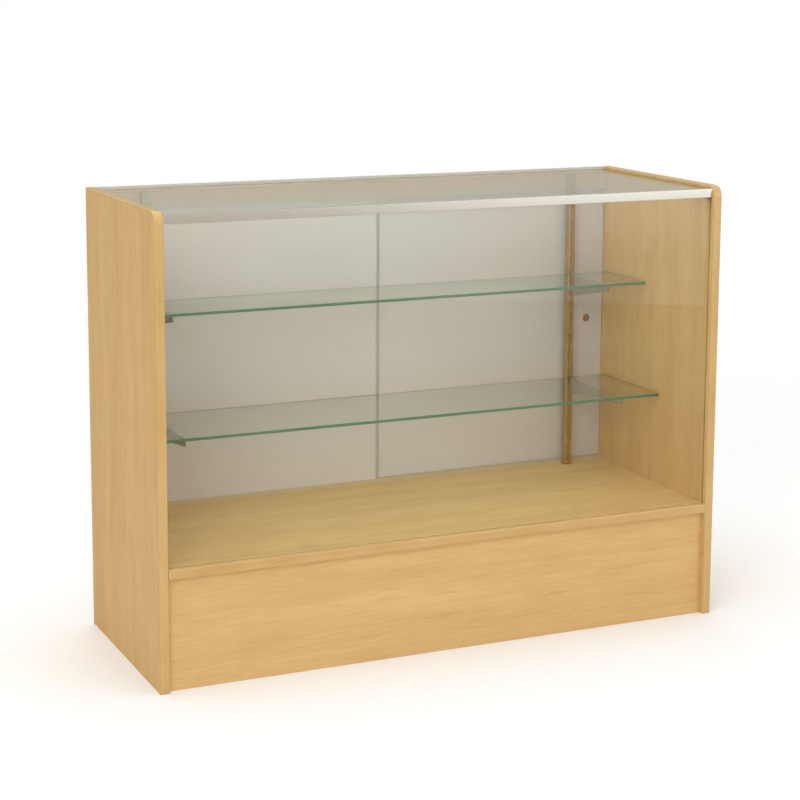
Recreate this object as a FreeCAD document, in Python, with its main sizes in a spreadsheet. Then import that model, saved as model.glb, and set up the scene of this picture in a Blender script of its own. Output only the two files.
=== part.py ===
import FreeCAD, Part
import os
import types

import Sketcher

# Glass showcase: two maple end panels, a raised deck on kick plates, a glass front and top held by an
# aluminium channel, two hung glass shelves and a pair of sliding doors on the clerk's side.
# Millimetres. X to the customer's right, Y to the rear, Z up. Origin on the floor under the middle.

SIZES = {
    # Case
    "case_width": 1219.2,
    "case_depth": 457.2,
    "case_height": 914.4,
    "board_thickness": 19.0,
    "end_corner_radius": 22.0,
    "deck_height": 240.0,
    "kick_offset": 12.0,
    # T-moulding pressed into a kerf along the board edges
    "cap_thickness": 3.0,
    "cap_radius": 2.2,
    "tongue_length": 8.0,
    "tongue_thickness": 2.0,
    "kerf_depth": 9.0,
    "kerf_width": 2.4,
    # Glass
    "glass_thickness": 6.0,
    "top_glass_depth": 6.0,
    "top_glass_side_gap": 1.2,
    "top_glass_front_gap": 0.6,
    "top_glass_rear_gap": 1.6,
    "front_glass_side_gap": 1.0,
    "groove_depth": 6.0,
    "groove_width": 6.8,
    "seat_thickness": 1.5,
    "cushion_thickness": 1.0,
    "cushion_width": 8.0,
    "rail_pad_length": 40.0,
    # Channel that joins the front and top glass
    "channel_offset": 7.5,
    "fascia_thickness": 2.5,
    "fascia_height": 18.0,
    "fascia_radius": 1.0,
    "ledge_thickness": 2.0,
    "ledge_length": 22.6,
    "channel_leg_thickness": 2.0,
    "gasket_thickness": 1.0,
    "channel_end_gap": 0.2,
    "clip_thickness": 1.5,
    "clip_width": 10.0,
    "clip_height": 15.0,
    "clip_leg_length": 14.0,
    "clip_rear_gap": 1.5,
    # Rear rail and door tracks
    "rail_height": 38.0,
    "rabbet_width": 10.0,
    "track_wall": 1.5,
    "upper_track_height": 16.0,
    "upper_track_web": 1.6,
    "lower_track_height": 9.5,
    "lower_track_web": 1.5,
    # Doors
    "door_thickness": 6.0,
    "door_overlap_width": 52.0,
    "door_side_gap": 1.0,
    "door_lift_gap": 0.5,
    "glide_height": 1.5,
    "glide_notch_depth": 3.0,
    "glide_length": 30.0,
    "glide_offset": 60.0,
    "glide_bevel_width": 1.0,
    "pull_height": 570.0,
    "pull_offset": 40.0,
    "pull_flange_diameter": 27.0,
    "pull_cup_diameter": 18.0,
    "pull_thickness": 0.8,
    "pull_bore_gap": 0.2,
    # Slotted standards
    "standard_offset": 96.6,
    "standard_width": 16.0,
    "standard_depth": 16.0,
    "standard_thickness": 1.2,
    "standard_top_gap": 3.4,
    "slot_pitch": 25.4,
    "slot_height": 13.0,
    "slot_width": 3.4,
    "first_slot_height": 8.7,
    "slot_top_gap": 24.0,
    "foot_thickness": 1.5,
    "foot_lip_width": 2.5,
    # Shelves and knife brackets
    "shelf_end_gap": 6.4,
    "shelf_rear_gap": 2.6,
    "upper_shelf_depth": 164.0,
    "lower_shelf_depth": 232.0,
    "bracket_thickness": 2.6,
    "bracket_tip_height": 10.0,
    "bracket_tip_offset": 2.0,
    "bracket_tip_radius": 4.0,
    "bracket_heel_height": 3.0,
    "upper_bracket_height": 16.0,
    "lower_bracket_height": 8.0,
    "hook_neck_height": 6.5,
    "hook_length": 5.0,
    "hook_thickness": 3.5,
    "hook_web_gap": 0.2,
    "pad_thickness": 1.0,
    "pad_skirt_height": 4.0,
    "pad_side_thickness": 1.6,
    "pad_length": 22.0,
    "pad_end_gap": 6.0,
    # Cam fittings, dowels and screws
    "cam_diameter": 15.0,
    "cam_length": 12.4,
    "cam_bore_end_gap": 0.6,
    "cam_offset": 34.0,
    "cam_slot_width": 6.8,
    "cam_driver_width": 1.6,
    "cam_driver_depth": 1.5,
    "bolt_diameter": 6.0,
    "bolt_panel_depth": 11.0,
    "dowel_diameter": 8.0,
    "dowel_length": 30.0,
    "dowel_panel_depth": 11.0,
    "bore_gap": 0.05,
    "bore_end_gap": 0.5,
    "screw_head_diameter": 7.5,
    "screw_head_height": 2.2,
    "screw_shank_diameter": 3.8,
    "screw_driver_width": 1.0,
    "screw_driver_depth": 1.1,
    "rail_screw_length": 31.0,
    "clip_screw_length": 14.0,
    # Running past an edge so that a cut leaves no skin
    "overrun_length": 2.0,
}

# Places along a length, as shares of it
RAIL_PAD_SHARES = (-0.75, 0.0, 0.75)
DECK_CAM_SHARES = (-0.3, 0.3)
KICK_DOWEL_SHARES = (0.2, 0.8)
CLIP_SCREW_SHARE = 0.6

# Counts
UPPER_BRACKET_SLOT = 16
LOWER_BRACKET_SLOT = 7

LEFT = -1
RIGHT = 1

# Two coordinates nearer than this are one place
PLACE_TOLERANCE = 1e-4


class Size:
    """A length as a formula on the sheet, with its present value for drawing the first lines."""

    def __init__(self, formula, value):
        self.formula = formula
        self.value = value

    def joined(self, sign, other, value):
        partner = other.formula if isinstance(other, Size) else str(other)
        return Size(f"({self.formula} {sign} {partner})", value)

    def __add__(self, other):
        return self.joined("+", other, self.value + plain(other))

    def __sub__(self, other):
        return self.joined("-", other, self.value - plain(other))

    def __mul__(self, other):
        return self.joined("*", other, self.value * plain(other))

    def __truediv__(self, other):
        return self.joined("/", other, self.value / plain(other))

    def __neg__(self):
        return Size(f"(0 - {self.formula})", -self.value)


def plain(amount):
    return amount.value if isinstance(amount, Size) else amount


doc = FreeCAD.newDocument("glass_showcase")
sheet = doc.addObject("Spreadsheet::Sheet", "Sizes")
for row, (name, amount) in enumerate(SIZES.items(), start=1):
    sheet.set(f"A{row}", name)
    sheet.set(f"B{row}", str(amount))
    sheet.setAlias(f"B{row}", name)
doc.recompute()
s = types.SimpleNamespace(**{name: Size(f"Sizes.{name}", amount) for name, amount in SIZES.items()})

pieces = []
cuts = []


# Drawing helpers

def origin_part(body, role):
    return next(part for part in body.Origin.OriginFeatures if part.Role == role)


def new_body(label, is_piece=True):
    body = doc.addObject("PartDesign::Body", label)
    body.Label = label
    if is_piece:
        pieces.append(body)
    return body


def span(axis, start, end):
    """Plane, level along its normal and length, for material from start to end along an axis."""
    plane = {"X": "YZ_Plane", "Y": "XZ_Plane", "Z": "XY_Plane"}[axis]
    level = -end if axis == "Y" else start
    return plane, level, end - start


def new_sketch(body, plane, level):
    sketch = body.newObject("Sketcher::SketchObject", f"{body.Label}_sketch")
    sketch.AttachmentSupport = (origin_part(body, plane), "")
    sketch.MapMode = "FlatFace"
    sketch.setExpression("AttachmentOffset.Base.z", level.formula)
    return sketch


def bind(sketch, constraint, formula):
    index = sketch.addConstraint(constraint)
    sketch.setExpression(f"Constraints[{index}]", formula)


def place_point(sketch, geometry, point, across, up):
    """Hold a point of the sketch at its place from the sketch's origin."""
    bind(sketch, Sketcher.Constraint("DistanceX", -1, 1, geometry, point, across.value), across.formula)
    bind(sketch, Sketcher.Constraint("DistanceY", -1, 1, geometry, point, up.value), up.formula)


def draw_outline(sketch, corners):
    """A closed outline of straight lines through the corners."""
    points = [FreeCAD.Vector(across.value, up.value, 0) for across, up in corners]
    count = len(points)
    lines = [Part.LineSegment(points[i], points[(i + 1) % count]) for i in range(count)]
    sketch.addGeometry(lines, False)
    for i in range(count):
        sketch.addConstraint(Sketcher.Constraint("Coincident", i, 2, (i + 1) % count, 1))
    for i, (across, up) in enumerate(corners):
        place_point(sketch, i, 1, across, up)


def draw_circles(sketch, centres, diameter):
    for i, (across, up) in enumerate(centres):
        centre = FreeCAD.Vector(across.value, up.value, 0)
        circle = Part.Circle(centre, FreeCAD.Vector(0, 0, 1), diameter.value / 2)
        sketch.addGeometry(circle, False)
        place_point(sketch, i, 3, across, up)
        bind(sketch, Sketcher.Constraint("Diameter", i, diameter.value), diameter.formula)


def finish_feature(body, sketch, kind, length):
    feature = body.newObject(f"PartDesign::{kind}", f"{body.Label}_{kind.lower()}")
    feature.Profile = sketch
    feature.setExpression("Length", length.formula)
    if kind == "Pocket":
        feature.Reversed = True
        cuts.append((body, feature))
    return feature


def outline_feature(body, kind, axis, start, end, corners):
    plane, level, length = span(axis, start, end)
    sketch = new_sketch(body, plane, level)
    draw_outline(sketch, corners)
    return finish_feature(body, sketch, kind, length)


def round_feature(body, kind, axis, start, end, centres, diameter):
    plane, level, length = span(axis, start, end)
    sketch = new_sketch(body, plane, level)
    draw_circles(sketch, centres, diameter)
    return finish_feature(body, sketch, kind, length)


def rectangle(left, right, low, high):
    return ((left, low), (right, low), (right, high), (left, high))


def box_feature(body, kind, x_range, y_range, z_range):
    return outline_feature(body, kind, "Z", *z_range, rectangle(*x_range, *y_range))


def on_side(side, near, far):
    """A range along X on one side of the middle, given by its distances from the middle."""
    return (near, far) if side == RIGHT else (-far, -near)


def same(first, second):
    return abs(first - second) < PLACE_TOLERANCE


def fillet(body, radius, chosen):
    """Round the chosen edges of the body as it stands."""
    doc.recompute()
    base = body.Tip
    box = base.Shape.BoundBox
    names = [f"Edge{i}" for i, edge in enumerate(base.Shape.Edges, start=1) if chosen(edge, box)]
    feature = body.newObject("PartDesign::Fillet", f"{body.Label}_fillet")
    feature.Base = (base, names)
    feature.setExpression("Radius", radius.formula)
    body.Tip = feature
    return feature


def lies_along(edge, axis):
    box = edge.BoundBox
    lengths = {"X": box.XLength, "Y": box.YLength, "Z": box.ZLength}
    return all(same(length, 0) for name, length in lengths.items() if name != axis)


def copies(label, form, places):
    """A group of identical fasteners: one drawn form, linked to each of its places."""
    links = []
    for x, y, z, turn in places:
        link = doc.addObject("App::Link", f"{label}_link")
        link.LinkedObject = form
        link.LinkTransform = False
        link.Placement = FreeCAD.Placement(FreeCAD.Vector(x.value, y.value, z.value), turn)
        link.setExpression("Placement.Base.x", x.formula)
        link.setExpression("Placement.Base.y", y.formula)
        link.setExpression("Placement.Base.z", z.formula)
        links.append(link)
    group = doc.addObject("Part::Compound", label)
    group.Label = label
    group.Links = links
    pieces.append(group)
    return group


# Fastener axes: each form is drawn along Z, and a turn points it along its bore
X_AXIS = FreeCAD.Vector(1, 0, 0)
Y_AXIS = FreeCAD.Vector(0, 1, 0)
Z_AXIS = FreeCAD.Vector(0, 0, 1)
POINTS_UP = FreeCAD.Rotation(Z_AXIS, Z_AXIS)
POINTS_REAR = FreeCAD.Rotation(Z_AXIS, Y_AXIS)
POINTS_FRONT = FreeCAD.Rotation(Z_AXIS, -Y_AXIS)
POINTS_RIGHT = FreeCAD.Rotation(Z_AXIS, X_AXIS)
POINTS_LEFT = FreeCAD.Rotation(Z_AXIS, -X_AXIS)


# Shared places

floor = Size("0", 0.0)
middle = Size("0", 0.0)
outer_x = s.case_width / 2
inner_x = outer_x - s.board_thickness
front_y = -(s.case_depth / 2)
rear_y = s.case_depth / 2
top_z = s.case_height
board_front = front_y + s.cap_thickness
board_top = top_z - s.cap_thickness
deck_top = s.deck_height
deck_bottom = deck_top - s.board_thickness
kick_front = front_y + s.kick_offset
kick_back = kick_front + s.board_thickness
rail_front = rear_y - s.board_thickness
rail_bottom = top_z - s.rail_height
between_panels = (-inner_x, inner_x)

top_glass_top = top_z - s.top_glass_depth
top_glass_bottom = top_glass_top - s.glass_thickness
ledge_top = top_glass_bottom - s.cushion_thickness
ledge_bottom = ledge_top - s.ledge_thickness
fascia_front = front_y + s.channel_offset
fascia_back = fascia_front + s.fascia_thickness
fascia_bottom = top_glass_top - s.fascia_height
front_glass_front = fascia_back + s.gasket_thickness
front_glass_back = front_glass_front + s.glass_thickness
leg_front = front_glass_back + s.gasket_thickness
leg_back = leg_front + s.channel_leg_thickness
groove_middle = (front_glass_front + front_glass_back) / 2
groove_range = (groove_middle - s.groove_width / 2, groove_middle + s.groove_width / 2)
groove_floor = deck_top - s.groove_depth
front_glass_bottom = groove_floor + s.seat_thickness
front_glass_top = ledge_bottom - s.gasket_thickness
front_glass_x = inner_x + s.groove_depth - s.front_glass_side_gap
channel_x = inner_x - s.channel_end_gap
rabbet_back = rail_front + s.rabbet_width

# Where cam bolts and dowels cross from the boards into the end panels, seen along X
deck_middle_z = deck_top - s.board_thickness / 2
kick_middle_y = kick_front + s.board_thickness / 2
rail_middle_y = rail_front + s.board_thickness / 2
rail_bolt_z = (rail_bottom + ledge_top) / 2
deck_bolt_ys = [s.case_depth * share for share in DECK_CAM_SHARES]
bolt_places = [(y, deck_middle_z) for y in deck_bolt_ys]
bolt_places.append((rail_middle_y, rail_bolt_z))
kick_dowel_zs = [deck_bottom * share for share in KICK_DOWEL_SHARES]
dowel_places = [(y, z) for y in (kick_middle_y, rail_middle_y) for z in kick_dowel_zs]
bolt_bore = s.bolt_diameter + s.bore_gap * 2
dowel_bore = s.dowel_diameter + s.bore_gap * 2
cam_x = inner_x - s.cam_offset


# End panels: melamine boards with a rounded top front corner, a kerf for the edge moulding and a
# stopped groove for the front glass

def end_panel(side):
    body = new_body("left_end_panel" if side == LEFT else "right_end_panel")
    board = rectangle(board_front, rear_y, floor, board_top)
    outline_feature(body, "Pad", "X", *on_side(side, inner_x, outer_x), board)
    fillet(
        body,
        s.end_corner_radius - s.cap_thickness,
        lambda edge, box: lies_along(edge, "X") and same(edge.CenterOfMass.y, box.YMin)
        and same(edge.CenterOfMass.z, box.ZMax),
    )
    kerf_middle = inner_x + s.board_thickness / 2
    kerf_range = on_side(side, kerf_middle - s.kerf_width / 2, kerf_middle + s.kerf_width / 2)
    kerf_back = board_front + s.kerf_depth
    kerf_floor = board_top - s.kerf_depth
    kerf = (
        (board_front - s.overrun_length, floor - s.overrun_length),
        (kerf_back, floor - s.overrun_length),
        (kerf_back, kerf_floor),
        (rear_y + s.overrun_length, kerf_floor),
        (rear_y + s.overrun_length, board_top + s.overrun_length),
        (board_front - s.overrun_length, board_top + s.overrun_length),
    )
    outline_feature(body, "Pocket", "X", *kerf_range, kerf)
    groove_x = on_side(side, inner_x - s.overrun_length, inner_x + s.groove_depth)
    outline_feature(body, "Pocket", "X", *groove_x, rectangle(*groove_range, groove_floor, ledge_bottom))
    bolt_x = on_side(side, inner_x - s.overrun_length, inner_x + s.bolt_panel_depth + s.bore_end_gap)
    round_feature(body, "Pocket", "X", *bolt_x, bolt_places, bolt_bore)
    dowel_x = on_side(side, inner_x - s.overrun_length, inner_x + s.dowel_panel_depth + s.bore_end_gap)
    round_feature(body, "Pocket", "X", *dowel_x, dowel_places, dowel_bore)
    screw_x = on_side(side, inner_x - s.overrun_length, inner_x + s.clip_screw_length)
    screw_bore = s.screw_shank_diameter + s.bore_gap * 2
    round_feature(body, "Pocket", "X", *screw_x, [(clip_middle_y, clip_screw_z)], screw_bore)


# Edge moulding: a crowned plastic cap bent round the corner, with its tongue notched out at the bend

def edge_moulding(side):
    body = new_body("left_edge_moulding" if side == LEFT else "right_edge_moulding")
    cap = (
        (front_y, floor),
        (board_front, floor),
        (board_front, board_top),
        (rear_y, board_top),
        (rear_y, top_z),
        (front_y, top_z),
    )
    outline_feature(body, "Pad", "X", *on_side(side, inner_x, outer_x), cap)
    fillet(
        body,
        s.end_corner_radius - s.cap_thickness,
        lambda edge, box: lies_along(edge, "X") and same(edge.CenterOfMass.y, board_front.value)
        and same(edge.CenterOfMass.z, board_top.value),
    )
    fillet(
        body,
        s.end_corner_radius,
        lambda edge, box: lies_along(edge, "X") and same(edge.CenterOfMass.y, box.YMin)
        and same(edge.CenterOfMass.z, box.ZMax),
    )
    fillet(
        body,
        s.cap_radius,
        lambda edge, box: lies_along(edge, "Z") and same(edge.CenterOfMass.y, box.YMin),
    )
    tongue_middle = inner_x + s.board_thickness / 2
    half = s.tongue_thickness / 2
    tongue_range = on_side(side, tongue_middle - half, tongue_middle + half)
    bend_y = front_y + s.end_corner_radius
    bend_z = top_z - s.end_corner_radius
    upright = rectangle(board_front, board_front + s.tongue_length, floor, bend_z)
    outline_feature(body, "Pad", "X", *tongue_range, upright)
    level = rectangle(bend_y, rear_y, board_top - s.tongue_length, board_top)
    outline_feature(body, "Pad", "X", *tongue_range, level)


# Deck: the display floor, with the front glass groove, its own moulded front edge and the bores
# of the cam fittings

def deck():
    body = new_body("deck_panel")
    box_feature(body, "Pad", between_panels, (board_front, rear_y), (deck_bottom, deck_top))
    kerf = rectangle(
        board_front - s.overrun_length,
        board_front + s.kerf_depth,
        deck_middle_z - s.kerf_width / 2,
        deck_middle_z + s.kerf_width / 2,
    )
    outline_feature(body, "Pocket", "X", -inner_x - s.overrun_length, inner_x + s.overrun_length, kerf)
    groove = rectangle(*groove_range, groove_floor, deck_top + s.overrun_length)
    outline_feature(body, "Pocket", "X", -inner_x - s.overrun_length, inner_x + s.overrun_length, groove)
    cam_centres = [(cam_x * side, y) for side in (LEFT, RIGHT) for y in deck_bolt_ys]
    cam_bore_top = deck_bottom + s.cam_length + s.cam_bore_end_gap
    round_feature(body, "Pocket", "Z", deck_bottom - s.overrun_length, cam_bore_top, cam_centres, cam_bore)
    bore_board_ends(body, s.cam_offset, [(y, deck_middle_z) for y in deck_bolt_ys], bolt_bore)


def bore_board_ends(body, depth, centres, diameter):
    """Bores that run in from both ends of a board between the panels."""
    for side in (LEFT, RIGHT):
        bore_range = on_side(side, inner_x - depth, inner_x + s.overrun_length)
        round_feature(body, "Pocket", "X", *bore_range, centres, diameter)


def deck_moulding():
    body = new_body("deck_edge_moulding")
    cap = rectangle(front_y, board_front, deck_bottom, deck_top)
    outline_feature(body, "Pad", "X", *between_panels, cap)
    fillet(
        body,
        s.cap_radius,
        lambda edge, box: lies_along(edge, "X") and same(edge.CenterOfMass.y, box.YMin),
    )
    tongue = rectangle(
        board_front,
        board_front + s.tongue_length,
        deck_middle_z - s.tongue_thickness / 2,
        deck_middle_z + s.tongue_thickness / 2,
    )
    outline_feature(body, "Pad", "X", *between_panels, tongue)


# Kick plates and the centre support that carry the deck

def kick_plate(label, y_range):
    body = new_body(label)
    box_feature(body, "Pad", between_panels, y_range, (floor, deck_bottom))
    kick_y = y_range[0] + s.board_thickness / 2
    dowel_depth = s.dowel_length - s.dowel_panel_depth + s.bore_end_gap
    bore_board_ends(body, dowel_depth, [(kick_y, z) for z in kick_dowel_zs], dowel_bore)


def deck_support():
    body = new_body("deck_support")
    half = s.board_thickness / 2
    box_feature(body, "Pad", (-half, half), (kick_back, rail_front), (floor, deck_bottom))


# Rear rail: carries the upper door track, the standards' heads and, in its rabbet, the top glass

def rear_rail():
    body = new_body("rear_top_rail")
    profile = (
        (rail_front, rail_bottom),
        (rear_y, rail_bottom),
        (rear_y, top_z),
        (rabbet_back, top_z),
        (rabbet_back, ledge_top),
        (rail_front, ledge_top),
    )
    outline_feature(body, "Pad", "X", *between_panels, profile)
    cam_centres = [(cam_x * side, rail_bolt_z) for side in (LEFT, RIGHT)]
    cam_range = (rear_y - s.cam_length - s.cam_bore_end_gap, rear_y + s.overrun_length)
    round_feature(body, "Pocket", "Y", *cam_range, cam_centres, cam_bore)
    bore_board_ends(body, s.cam_offset, [(rail_middle_y, rail_bolt_z)], bolt_bore)
    screw_centres = [(standard_x * side, rail_screw_z) for side in (LEFT, RIGHT)]
    screw_end = standard_front + s.rail_screw_length
    round_feature(body, "Pocket", "Y", rail_front - s.overrun_length, screw_end, screw_centres, screw_bore)


# Door tracks: double channels, deep overhead so that a door lifts out, shallow below

track_channel = (s.board_thickness - s.track_wall * 3) / 2
front_channel_y = rail_front + s.track_wall
rear_channel_y = front_channel_y + track_channel + s.track_wall
lower_track_top = deck_top + s.lower_track_height
lower_track_floor = deck_top + s.lower_track_web
upper_track_bottom = rail_bottom - s.upper_track_height
upper_track_ceiling = rail_bottom - s.upper_track_web


def door_track(label, web_side, web_face, open_edge):
    """A profile with three walls standing on one web."""
    body = new_body(label)
    wall = s.track_wall
    profile = (
        (rail_front, web_side),
        (rear_y, web_side),
        (rear_y, open_edge),
        (rear_y - wall, open_edge),
        (rear_y - wall, web_face),
        (rear_channel_y, web_face),
        (rear_channel_y, open_edge),
        (rear_channel_y - wall, open_edge),
        (rear_channel_y - wall, web_face),
        (front_channel_y, web_face),
        (front_channel_y, open_edge),
        (rail_front, open_edge),
    )
    outline_feature(body, "Pad", "X", *between_panels, profile)


# Glass front, glass top and the aluminium channel that holds them

def front_glass():
    body = new_body("front_glass")
    y_range = (front_glass_front, front_glass_back)
    z_range = (front_glass_bottom, front_glass_top)
    box_feature(body, "Pad", (-front_glass_x, front_glass_x), y_range, z_range)
    seat = new_body("front_glass_seat")
    box_feature(seat, "Pad", between_panels, groove_range, (groove_floor, front_glass_bottom))
    gasket = new_body("front_glass_gasket")
    lip_bottom = fascia_bottom + s.gasket_thickness / 2
    profile = (
        (fascia_back, lip_bottom),
        (front_glass_front, lip_bottom),
        (front_glass_front, front_glass_top),
        (front_glass_back, front_glass_top),
        (front_glass_back, lip_bottom),
        (leg_front, lip_bottom),
        (leg_front, ledge_bottom),
        (fascia_back, ledge_bottom),
    )
    outline_feature(gasket, "Pad", "X", -channel_x, channel_x, profile)


def front_channel():
    body = new_body("top_front_channel")
    profile = (
        (fascia_front, fascia_bottom),
        (fascia_back, fascia_bottom),
        (fascia_back, ledge_bottom),
        (leg_front, ledge_bottom),
        (leg_front, fascia_bottom),
        (leg_back, fascia_bottom),
        (leg_back, ledge_bottom),
        (ledge_rear, ledge_bottom),
        (ledge_rear, ledge_top),
        (fascia_back, ledge_top),
        (fascia_back, top_glass_top),
        (fascia_front, top_glass_top),
    )
    outline_feature(body, "Pad", "X", -channel_x, channel_x, profile)
    fillet(
        body,
        s.fascia_radius,
        lambda edge, box: lies_along(edge, "X") and same(edge.CenterOfMass.y, box.YMin),
    )


def channel_clip():
    """Angle under the ledge, drawn for the right panel with its corner at the origin."""
    body = new_body("channel_clip_form", is_piece=False)
    half = s.clip_width / 2
    profile = (
        (middle, floor),
        (middle, -s.clip_height),
        (-s.clip_thickness, -s.clip_height),
        (-s.clip_thickness, -s.clip_thickness),
        (-s.clip_leg_length, -s.clip_thickness),
        (-s.clip_leg_length, floor),
    )
    outline_feature(body, "Pad", "Y", -half, half, profile)
    screw_z = clip_screw_z - ledge_bottom
    bore_range = (-s.clip_thickness - s.overrun_length, floor + s.overrun_length)
    round_feature(body, "Pocket", "X", *bore_range, [(middle, screw_z)], screw_bore)
    return body


def top_glass():
    body = new_body("top_glass")
    glass_x = inner_x - s.top_glass_side_gap
    y_range = (fascia_back + s.top_glass_front_gap, rabbet_back - s.top_glass_rear_gap)
    box_feature(body, "Pad", (-glass_x, glass_x), y_range, (top_glass_bottom, top_glass_top))
    cushion = new_body("top_glass_cushion")
    cushion_range = (y_range[0], y_range[0] + s.cushion_width)
    box_feature(cushion, "Pad", (-glass_x, glass_x), cushion_range, (ledge_top, top_glass_bottom))
    pad = new_body("rail_pad_form", is_piece=False)
    half = s.rail_pad_length / 2
    width = rabbet_back - s.top_glass_rear_gap - rail_front
    box_feature(pad, "Pad", (-half, half), (floor, width), (floor, s.cushion_thickness))
    places = [(inner_x * share, rail_front, ledge_top, POINTS_UP) for share in RAIL_PAD_SHARES]
    copies("top_glass_pads", pad, places)


# Slotted standards on small feet, screwed to the rail at their heads

def standard(side):
    body = new_body("left_standard" if side == LEFT else "right_standard")
    half = s.standard_width / 2
    metal = s.standard_thickness
    x = standard_x * side
    profile = (
        (x - half, standard_front),
        (x + half, standard_front),
        (x + half, rail_front),
        (x + half - metal, rail_front),
        (x + half - metal, standard_front + metal),
        (x - half + metal, standard_front + metal),
        (x - half + metal, rail_front),
        (x - half, rail_front),
    )
    outline_feature(body, "Pad", "Z", foot_top, standard_top, profile)
    screw_range = (standard_front - s.overrun_length, standard_front + metal + s.overrun_length)
    round_feature(body, "Pocket", "Y", *screw_range, [(x, rail_screw_z)], screw_bore)
    slot_half = s.slot_width / 2
    slot_outline = rectangle(x - slot_half, x + slot_half, first_slot, first_slot + s.slot_height)
    slot = outline_feature(body, "Pocket", "Y", *screw_range, slot_outline)
    pattern = body.newObject("PartDesign::LinearPattern", f"{body.Label}_slots")
    pattern.Originals = [slot]
    pattern.Direction = (origin_part(body, "Z_Axis"), [""])
    room = (standard_top - s.slot_top_gap - s.slot_height - first_slot) / s.slot_pitch
    pattern.setExpression("Length", f"{s.slot_pitch.formula} * floor({room.formula})")
    pattern.setExpression("Occurrences", f"floor({room.formula}) + 1")
    body.Tip = pattern
    cuts.append((body, pattern))


def standard_foot():
    body = new_body("standard_foot_form", is_piece=False)
    half = s.standard_width / 2 + s.foot_lip_width
    outline = rectangle(-half, half, standard_front - s.foot_lip_width, rail_front)
    outline_feature(body, "Pad", "Z", deck_top, foot_top, outline)
    return body


# Knife brackets: flat blades hooked into two neighbouring slots, with vinyl saddles under the glass

def bracket(label, side, slot_number, rise, tip_y):
    body = new_body(label)
    hook_z = first_slot + s.slot_pitch * slot_number
    low_hook_z = hook_z - s.slot_pitch
    top = hook_z + rise
    heel = low_hook_z - s.bracket_heel_height
    web_back = standard_front + s.standard_thickness + s.hook_web_gap
    hook_back = web_back + s.hook_thickness
    profile = (
        (tip_y, top),
        (tip_y, top - s.bracket_tip_height),
        (standard_front, heel),
        (standard_front, low_hook_z),
        (web_back, low_hook_z),
        (web_back, low_hook_z - s.hook_length),
        (hook_back, low_hook_z - s.hook_length),
        (hook_back, low_hook_z + s.hook_neck_height),
        (standard_front, low_hook_z + s.hook_neck_height),
        (standard_front, hook_z),
        (web_back, hook_z),
        (web_back, hook_z - s.hook_length),
        (hook_back, hook_z - s.hook_length),
        (hook_back, hook_z + s.hook_neck_height),
        (standard_front, hook_z + s.hook_neck_height),
        (standard_front, top),
    )
    half = s.bracket_thickness / 2
    x = standard_x * side
    outline_feature(body, "Pad", "X", x - half, x + half, profile)
    fillet(
        body,
        s.bracket_tip_radius,
        lambda edge, box: lies_along(edge, "X") and same(edge.CenterOfMass.y, box.YMin)
        and edge.CenterOfMass.z < top.value - s.bracket_tip_radius.value,
    )
    return top


def bracket_pad():
    """Saddle over the blade, drawn with the blade's top edge at the origin."""
    body = new_body("bracket_pad_form", is_piece=False)
    half_blade = s.bracket_thickness / 2
    half = half_blade + s.pad_side_thickness
    profile = (
        (-half, -s.pad_skirt_height),
        (-half_blade, -s.pad_skirt_height),
        (-half_blade, floor),
        (half_blade, floor),
        (half_blade, -s.pad_skirt_height),
        (half, -s.pad_skirt_height),
        (half, s.pad_thickness),
        (-half, s.pad_thickness),
    )
    outline_feature(body, "Pad", "Y", floor, s.pad_length, profile)
    return body


def hung_shelf(level, slot_number, rise, depth, pad_form):
    """A glass shelf on its pair of brackets, with a saddle near each end of each blade."""
    shelf_back = standard_front - s.shelf_rear_gap
    shelf_front = shelf_back - depth
    tip_y = shelf_front + s.bracket_tip_offset
    for name, side in (("left", LEFT), ("right", RIGHT)):
        top = bracket(f"{level}_{name}_bracket", side, slot_number, rise, tip_y)
    places = []
    for side in (LEFT, RIGHT):
        for y in (tip_y + s.pad_end_gap, shelf_back - s.pad_end_gap - s.pad_length):
            places.append((standard_x * side, y, top, POINTS_UP))
    copies(f"{level}_bracket_pads", pad_form, places)
    body = new_body(f"{level}_shelf")
    shelf_x = inner_x - s.shelf_end_gap
    shelf_bottom = top + s.pad_thickness
    shelf_z = (shelf_bottom, shelf_bottom + s.glass_thickness)
    box_feature(body, "Pad", (-shelf_x, shelf_x), (shelf_front, shelf_back), shelf_z)


# Sliding doors with recessed pulls and nylon glides

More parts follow.
